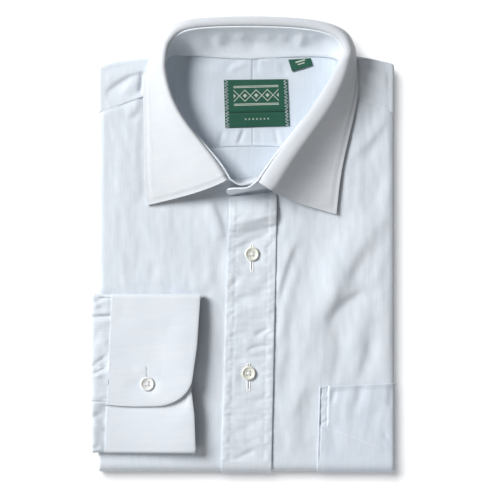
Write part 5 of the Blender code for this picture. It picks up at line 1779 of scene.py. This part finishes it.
def make_button(name, x, y, z, material, node):
    """Spins the cut into a disc at its place, then drills four holes."""
    mesh = bmesh.new()
    cut = [mesh.verts.new(Vector((r, 0, h)) * MM) for r, h in BUTTON_CUT]
    edges = [mesh.edges.new(pair) for pair in zip(cut, cut[1:])]
    bmesh.ops.spin(mesh, geom=cut + edges, cent=(0, 0, 0), axis=(0, 0, 1), angle=2 * pi, steps=56, use_merge=True)
    bmesh.ops.remove_doubles(mesh, verts=mesh.verts[:], dist=0.001 * MM)
    bmesh.ops.recalc_face_normals(mesh, faces=mesh.faces[:])
    bmesh.ops.translate(mesh, verts=mesh.verts, vec=Vector((x, y, z)) * MM)
    button = finish_piece(name, mesh, material, [node], crisp=BUTTON_CRISP)
    drill = bmesh.new()
    for side, ahead in ((1, 1), (-1, 1), (-1, -1), (1, -1)):
        spot = Vector((x + side * HOLE_SPREAD, y + ahead * HOLE_SPREAD, z)) * MM
        bmesh.ops.create_cone(drill, cap_ends=True, segments=16, radius1=HOLE_RADIUS * MM,
                              radius2=HOLE_RADIUS * MM, depth=4 * BUTTON_HEIGHT * MM,
                              matrix=Matrix.Translation(spot))
    drill_data = bpy.data.meshes.new("drill")
    drill.to_mesh(drill_data)
    drill.free()
    drill_piece = bpy.data.objects.new("drill", drill_data)
    scene.collection.objects.link(drill_piece)
    holes = button.modifiers.new("holes", "BOOLEAN")
    holes.object = drill_piece
    cut_button = bpy.data.meshes.new_from_object(button.evaluated_get(bpy.context.evaluated_depsgraph_get()))
    button.modifiers.clear()
    button.data = cut_button
    button.data.set_sharp_from_angle(angle=radians(BUTTON_CRISP))
    bpy.data.objects.remove(drill_piece)
    print(name, len(cut_button.polygons), "faces")
    return button


def surface_height(sheet, keep):
    """Gives a function for the height of a sheet at a place, from its nearest grid points."""
    spots = sheet.points[keep]

    def height(x, y):
        off = np.hypot(spots[:, 0] - x, spots[:, 1] - y)
        near = off < off.min() + 1.5
        return float(np.percentile(spots[near, 2], 70))

    return height


placket_height = surface_height(placket, placket.b > FOOT_Y)
on_lap = (cuff.points[..., 2] > CUFF_LAYERS[2] - 2.4) & (y_of(cuff) > CUFF_LAP_Y - 2)
cuff_height = surface_height(cuff, on_lap)
buttons = [
    (f"placket_button_{number}", *spot, placket_height(*spot) - BUTTON_BED, front_shell)
    for number, spot in enumerate(BUTTON_SPOTS, start=1)
]
buttons.append(("cuff_button", *CUFF_BUTTON, cuff_height(*CUFF_BUTTON) + CUFF_WALL / 2 - BUTTON_BED, cuff_shell))
for node, button_x, button_y, base, shell in buttons:
    make_button(node + "_shell", button_x, button_y, base, shell, node)

# %% [markdown]
# ## Sewing
#
# Stitches are what makes folded cloth read as a garment. Each is a short length of thread pulled into the
# cloth at both ends. They are small smooth beads, drawn out along the seam, and one seam is one joined
# mesh. The seams follow the sheets' own edge distances, so they turn every corner that the cloth turns.
# Buttonholes are the same thread packed side by side along a slit, with a bar at each end.

# %% Thread
def make_thread_material(name, dark, light):
    """Twisted cotton: a matt thread, in fine clouds of two tones."""
    return make_clouded_material(name, dark, light, 2500.0, 2.0, Roughness=0.7, Sheen_Weight=0.2)[0]


thread = make_thread_material("cotton_thread", (0.70, 0.74, 0.80), (0.88, 0.90, 0.92))
hole_thread = make_thread_material("buttonhole_thread", (0.84, 0.86, 0.87), (0.95, 0.95, 0.95))
STITCH_PITCH = 2.3
STITCH_SHARE = 0.66
THREAD_RADIUS = 0.17


def seam_on(sheet, off, at, rows_first=True, keep=None, lift=0.02):
    """Points and normals where a distance from an edge has one value, looked for along rows or columns."""
    values, points, normals = off, sheet.points, sheet.normals
    kept = np.ones(sheet.shape, bool) if keep is None else keep
    if not rows_first:
        values, kept = values.T, kept.T
        points, normals = points.transpose(1, 0, 2), normals.transpose(1, 0, 2)
    found = []
    for value, point, normal, wanted in zip(values, points, normals, kept):
        crossing = np.nonzero(((value[:-1] - at) * (value[1:] - at) <= 0) & wanted[:-1])[0]
        if len(crossing):
            i = crossing[0]
            t = (at - value[i]) / (value[i + 1] - value[i])
            found.append((Vector(point[i] * (1 - t) + point[i + 1] * t + normal[i] * lift), Vector(normal[i])))
    return found


def stitches_along(path):
    """Cuts a seam into stitches: each a first point, a last point and a normal."""
    if len(path) < 2:
        return []
    size = [0.0]
    for (a, _), (b, _) in zip(path, path[1:]):
        size.append(size[-1] + (b - a).length)
    places = np.array([tuple(point) for point, normal in path])
    ups = np.array([tuple(normal) for point, normal in path])

    def read(rows, at):
        return Vector([np.interp(at * STITCH_PITCH, size, rows[:, k]) for k in range(3)])

    return [
        (read(places, i), read(places, i + STITCH_SHARE), read(ups, i + STITCH_SHARE / 2))
        for i in range(int(size[-1] / STITCH_PITCH))
    ]


def make_stitches(name, stitches, material=thread, radius=THREAD_RADIUS):
    """One joined mesh of drawn-out beads, one for each stitch."""
    mesh = bmesh.new()
    for first, last, up in stitches:
        along = last - first
        size = along.length
        if size < 1e-6:
            continue
        along.normalize()
        side = up.cross(along).normalized()
        up = along.cross(side)
        turn = Matrix((along, side, up)).transposed().to_4x4()
        stretch = Matrix.Diagonal((size / 2 + radius * 0.6, radius, radius * 0.8, 1))
        place = Matrix.Translation((first + last) / 2)
        matrix = Matrix.Scale(MM, 4) @ place @ turn @ stretch
        bmesh.ops.create_icosphere(mesh, subdivisions=1, radius=1, matrix=matrix)
    bmesh.ops.recalc_face_normals(mesh, faces=mesh.faces[:])
    print(name, len(stitches), "stitches")
    return finish_piece(name, mesh, material, [], crisp=80)


def sew(name, *seams):
    """Stitches along all of these seams, in one piece."""
    make_stitches(name, [stitch for seam in seams for stitch in stitches_along(seam)])


# %% Seams of the collar and the body
on_leaf = (leaf.top > LEAF_STITCH - 1) & (leaf.foot > 9)
sew(
    "collar_leaf_stitches",
    seam_on(leaf, leaf.top, LEAF_STITCH, False, (leaf.left > LEAF_STITCH) & (leaf.right > LEAF_STITCH)),
    seam_on(leaf, leaf.left, LEAF_STITCH, keep=on_leaf),
    seam_on(leaf, leaf.right, LEAF_STITCH, keep=on_leaf),
)
sew(
    "collar_stand_stitches",
    seam_on(stand, stand.foot, STAND_STITCH, False),
    seam_on(stand, stand.top, STAND_TOP_STITCH, False, (stand.left > 60) & (stand.right > 60)),
)
below_head = placket.b < 37
sew(
    "body_stitches",
    seam_on(placket, placket.left, PLACKET_STITCH, keep=below_head),
    seam_on(placket, placket.right, PLACKET_STITCH, keep=below_head),
    seam_on(right_yoke, right_yoke.foot, YOKE_STITCH, False),
    seam_on(left_yoke, left_yoke.foot, YOKE_STITCH, False),
    seam_on(right_inside, right_inside.foot, BACK_STITCH, False),
    seam_on(left_inside, left_inside.foot, BACK_STITCH, False),
    seam_on(pocket, pocket.left, POCKET_STITCH),
    seam_on(pocket, pocket.left, CHANNEL_STITCH, keep=pocket.b > CHANNEL_FOOT_Y),
)
upper_cuff = cuff.points[..., 2] > CUFF_LAYERS[1] - 0.5
sew(
    "cuff_stitches",
    seam_on(cuff, cuff.left, CUFF_STITCH, keep=upper_cuff),
    seam_on(cuff, cuff.right, CUFF_STITCH, keep=upper_cuff & (cuff.top > 2)),
    seam_on(cuff, cuff.top, CUFF_STITCH, False, upper_cuff & (cuff.left > 2) & (cuff.right > 2)),
    seam_on(gauntlet, gauntlet.left, GAUNTLET_STITCH),
    seam_on(gauntlet, gauntlet.right, GAUNTLET_STITCH),
)

# %% Label zigzag
ZIGZAG_PITCH = 2.4
ZIGZAG_EDGES = (0.2, 3.4)


def zigzag(sheet, off):
    """Slanting stitches to and fro between two distances from an edge."""
    inner, outer = (seam_on(sheet, off, at, lift=0.1) for at in ZIGZAG_EDGES)
    size = (inner[-1][0] - inner[0][0]).length
    count = int(size / ZIGZAG_PITCH)
    found = []
    for i in range(count):
        a, b = int(i / count * (len(inner) - 1)), int((i + 0.55) / count * (len(inner) - 1))
        c = int(min(1, (i + 1) / count) * (len(inner) - 1))
        found += [(inner[a][0], outer[b][0], inner[a][1]), (outer[b][0], inner[c][0], inner[a][1])]
    return found


make_stitches("label_zigzag", zigzag(label, label.left) + zigzag(label, label.right), radius=0.2)

# %% Buttonholes and button threads
HOLE_PITCH = 0.34
HOLE_EDGE = 0.42
HOLE_STITCH = 1.1
UP = Vector((0, 0, 1))


def buttonhole(x, y_low, y_high, height_at):
    """Thread packed along both sides of a slit, with a bar at each end."""
    found = []
    for y in levels(y_low, y_high, step=HOLE_PITCH):
        for side in (-1, 1):
            near, far = (x + side * off for off in (HOLE_EDGE, HOLE_EDGE + HOLE_STITCH))
            found.append((Vector((near, y, height_at(near, y))), Vector((far, y, height_at(far, y))), UP))
    wide = 0.35 + HOLE_STITCH
    for y in (y_low - 0.3, y_low - 0.6, y_high + 0.3, y_high + 0.6):
        z = height_at(x, y)
        found.append((Vector((x - wide, y, z)), Vector((x + wide, y, z)), UP))
    return found


holes = []
for button_x, button_y in BUTTON_SPOTS:
    holes += buttonhole(button_x, button_y + HOLE_LONG[1], button_y + HOLE_LONG[0], placket_height)
holes += buttonhole(CUFF_BUTTON[0], CUFF_BUTTON[1] - 3, CUFF_BUTTON[1] + 12.6, cuff_height)
make_stitches("buttonholes", holes, hole_thread, radius=0.3)
crossings = []
reach = HOLE_SPREAD + 0.25
for node, button_x, button_y, base, shell in buttons:
    for side in (-1, 1):
        for shift in (-0.2, 0.2):
            first = Vector((button_x - reach + shift, button_y - side * reach, base + THREAD_LEVEL))
            last = Vector((button_x + reach + shift, button_y + side * reach, base + THREAD_LEVEL))
            crossings.append((first, last, UP))
make_stitches("button_threads", crossings, hole_thread, radius=0.34)

# %% [markdown]
# ## What each light reaches
#
# The collar walls off the inside of the neck, where the low window would leave a shadow right over the
# label. Another lamp, from the same side but higher, lights only what lies inside, so that the label and
# the back seam can be seen and the shadow stays close to the collar. The leaf has a weak one of its own,
# high enough to pass over the roll and reach the points. So have the back panel and the stand. The floor's
# two lamps light the floor alone.

# %% Light linking
INSIDE_PIECES = (
    "right_yoke_inside_cloth", "left_yoke_inside_cloth", "neck_label_tape", "size_tab_tape", "label_zigzag",
)


def light_only(lamps, names, state="INCLUDE"):
    """These lamps light only the named pieces, or with the state EXCLUDE all but them."""
    reached = bpy.data.collections.new("lit_by_" + lamps[0].name)
    for name in names:
        reached.objects.link(bpy.data.objects[name])
    for lamp in lamps:
        lamp.light_linking.receiver_collection = reached
    for link in reached.collection_objects:
        link.light_linking.link_state = state


back_light = add_sun("back_light", 2.55, 20, 149, 56)
stand_light = add_sun("stand_light", 0.62, 12, 205, 42)
leaf_light = add_sun("leaf_light", 0.85, 12, 150, 62)
light_only([floor_window, floor_fill], ["floor"])
light_only([window, reflector, warm_wall], ["floor", "back_inside_cloth", *INSIDE_PIECES], "EXCLUDE")
light_only([neck_window], INSIDE_PIECES)
light_only([back_light], ["back_inside_cloth"])
light_only([stand_light], ["collar_stand_cloth"])
light_only([leaf_light], ["collar_leaf_cloth"])
print("lights with pieces of their own:", len(bpy.data.collections))
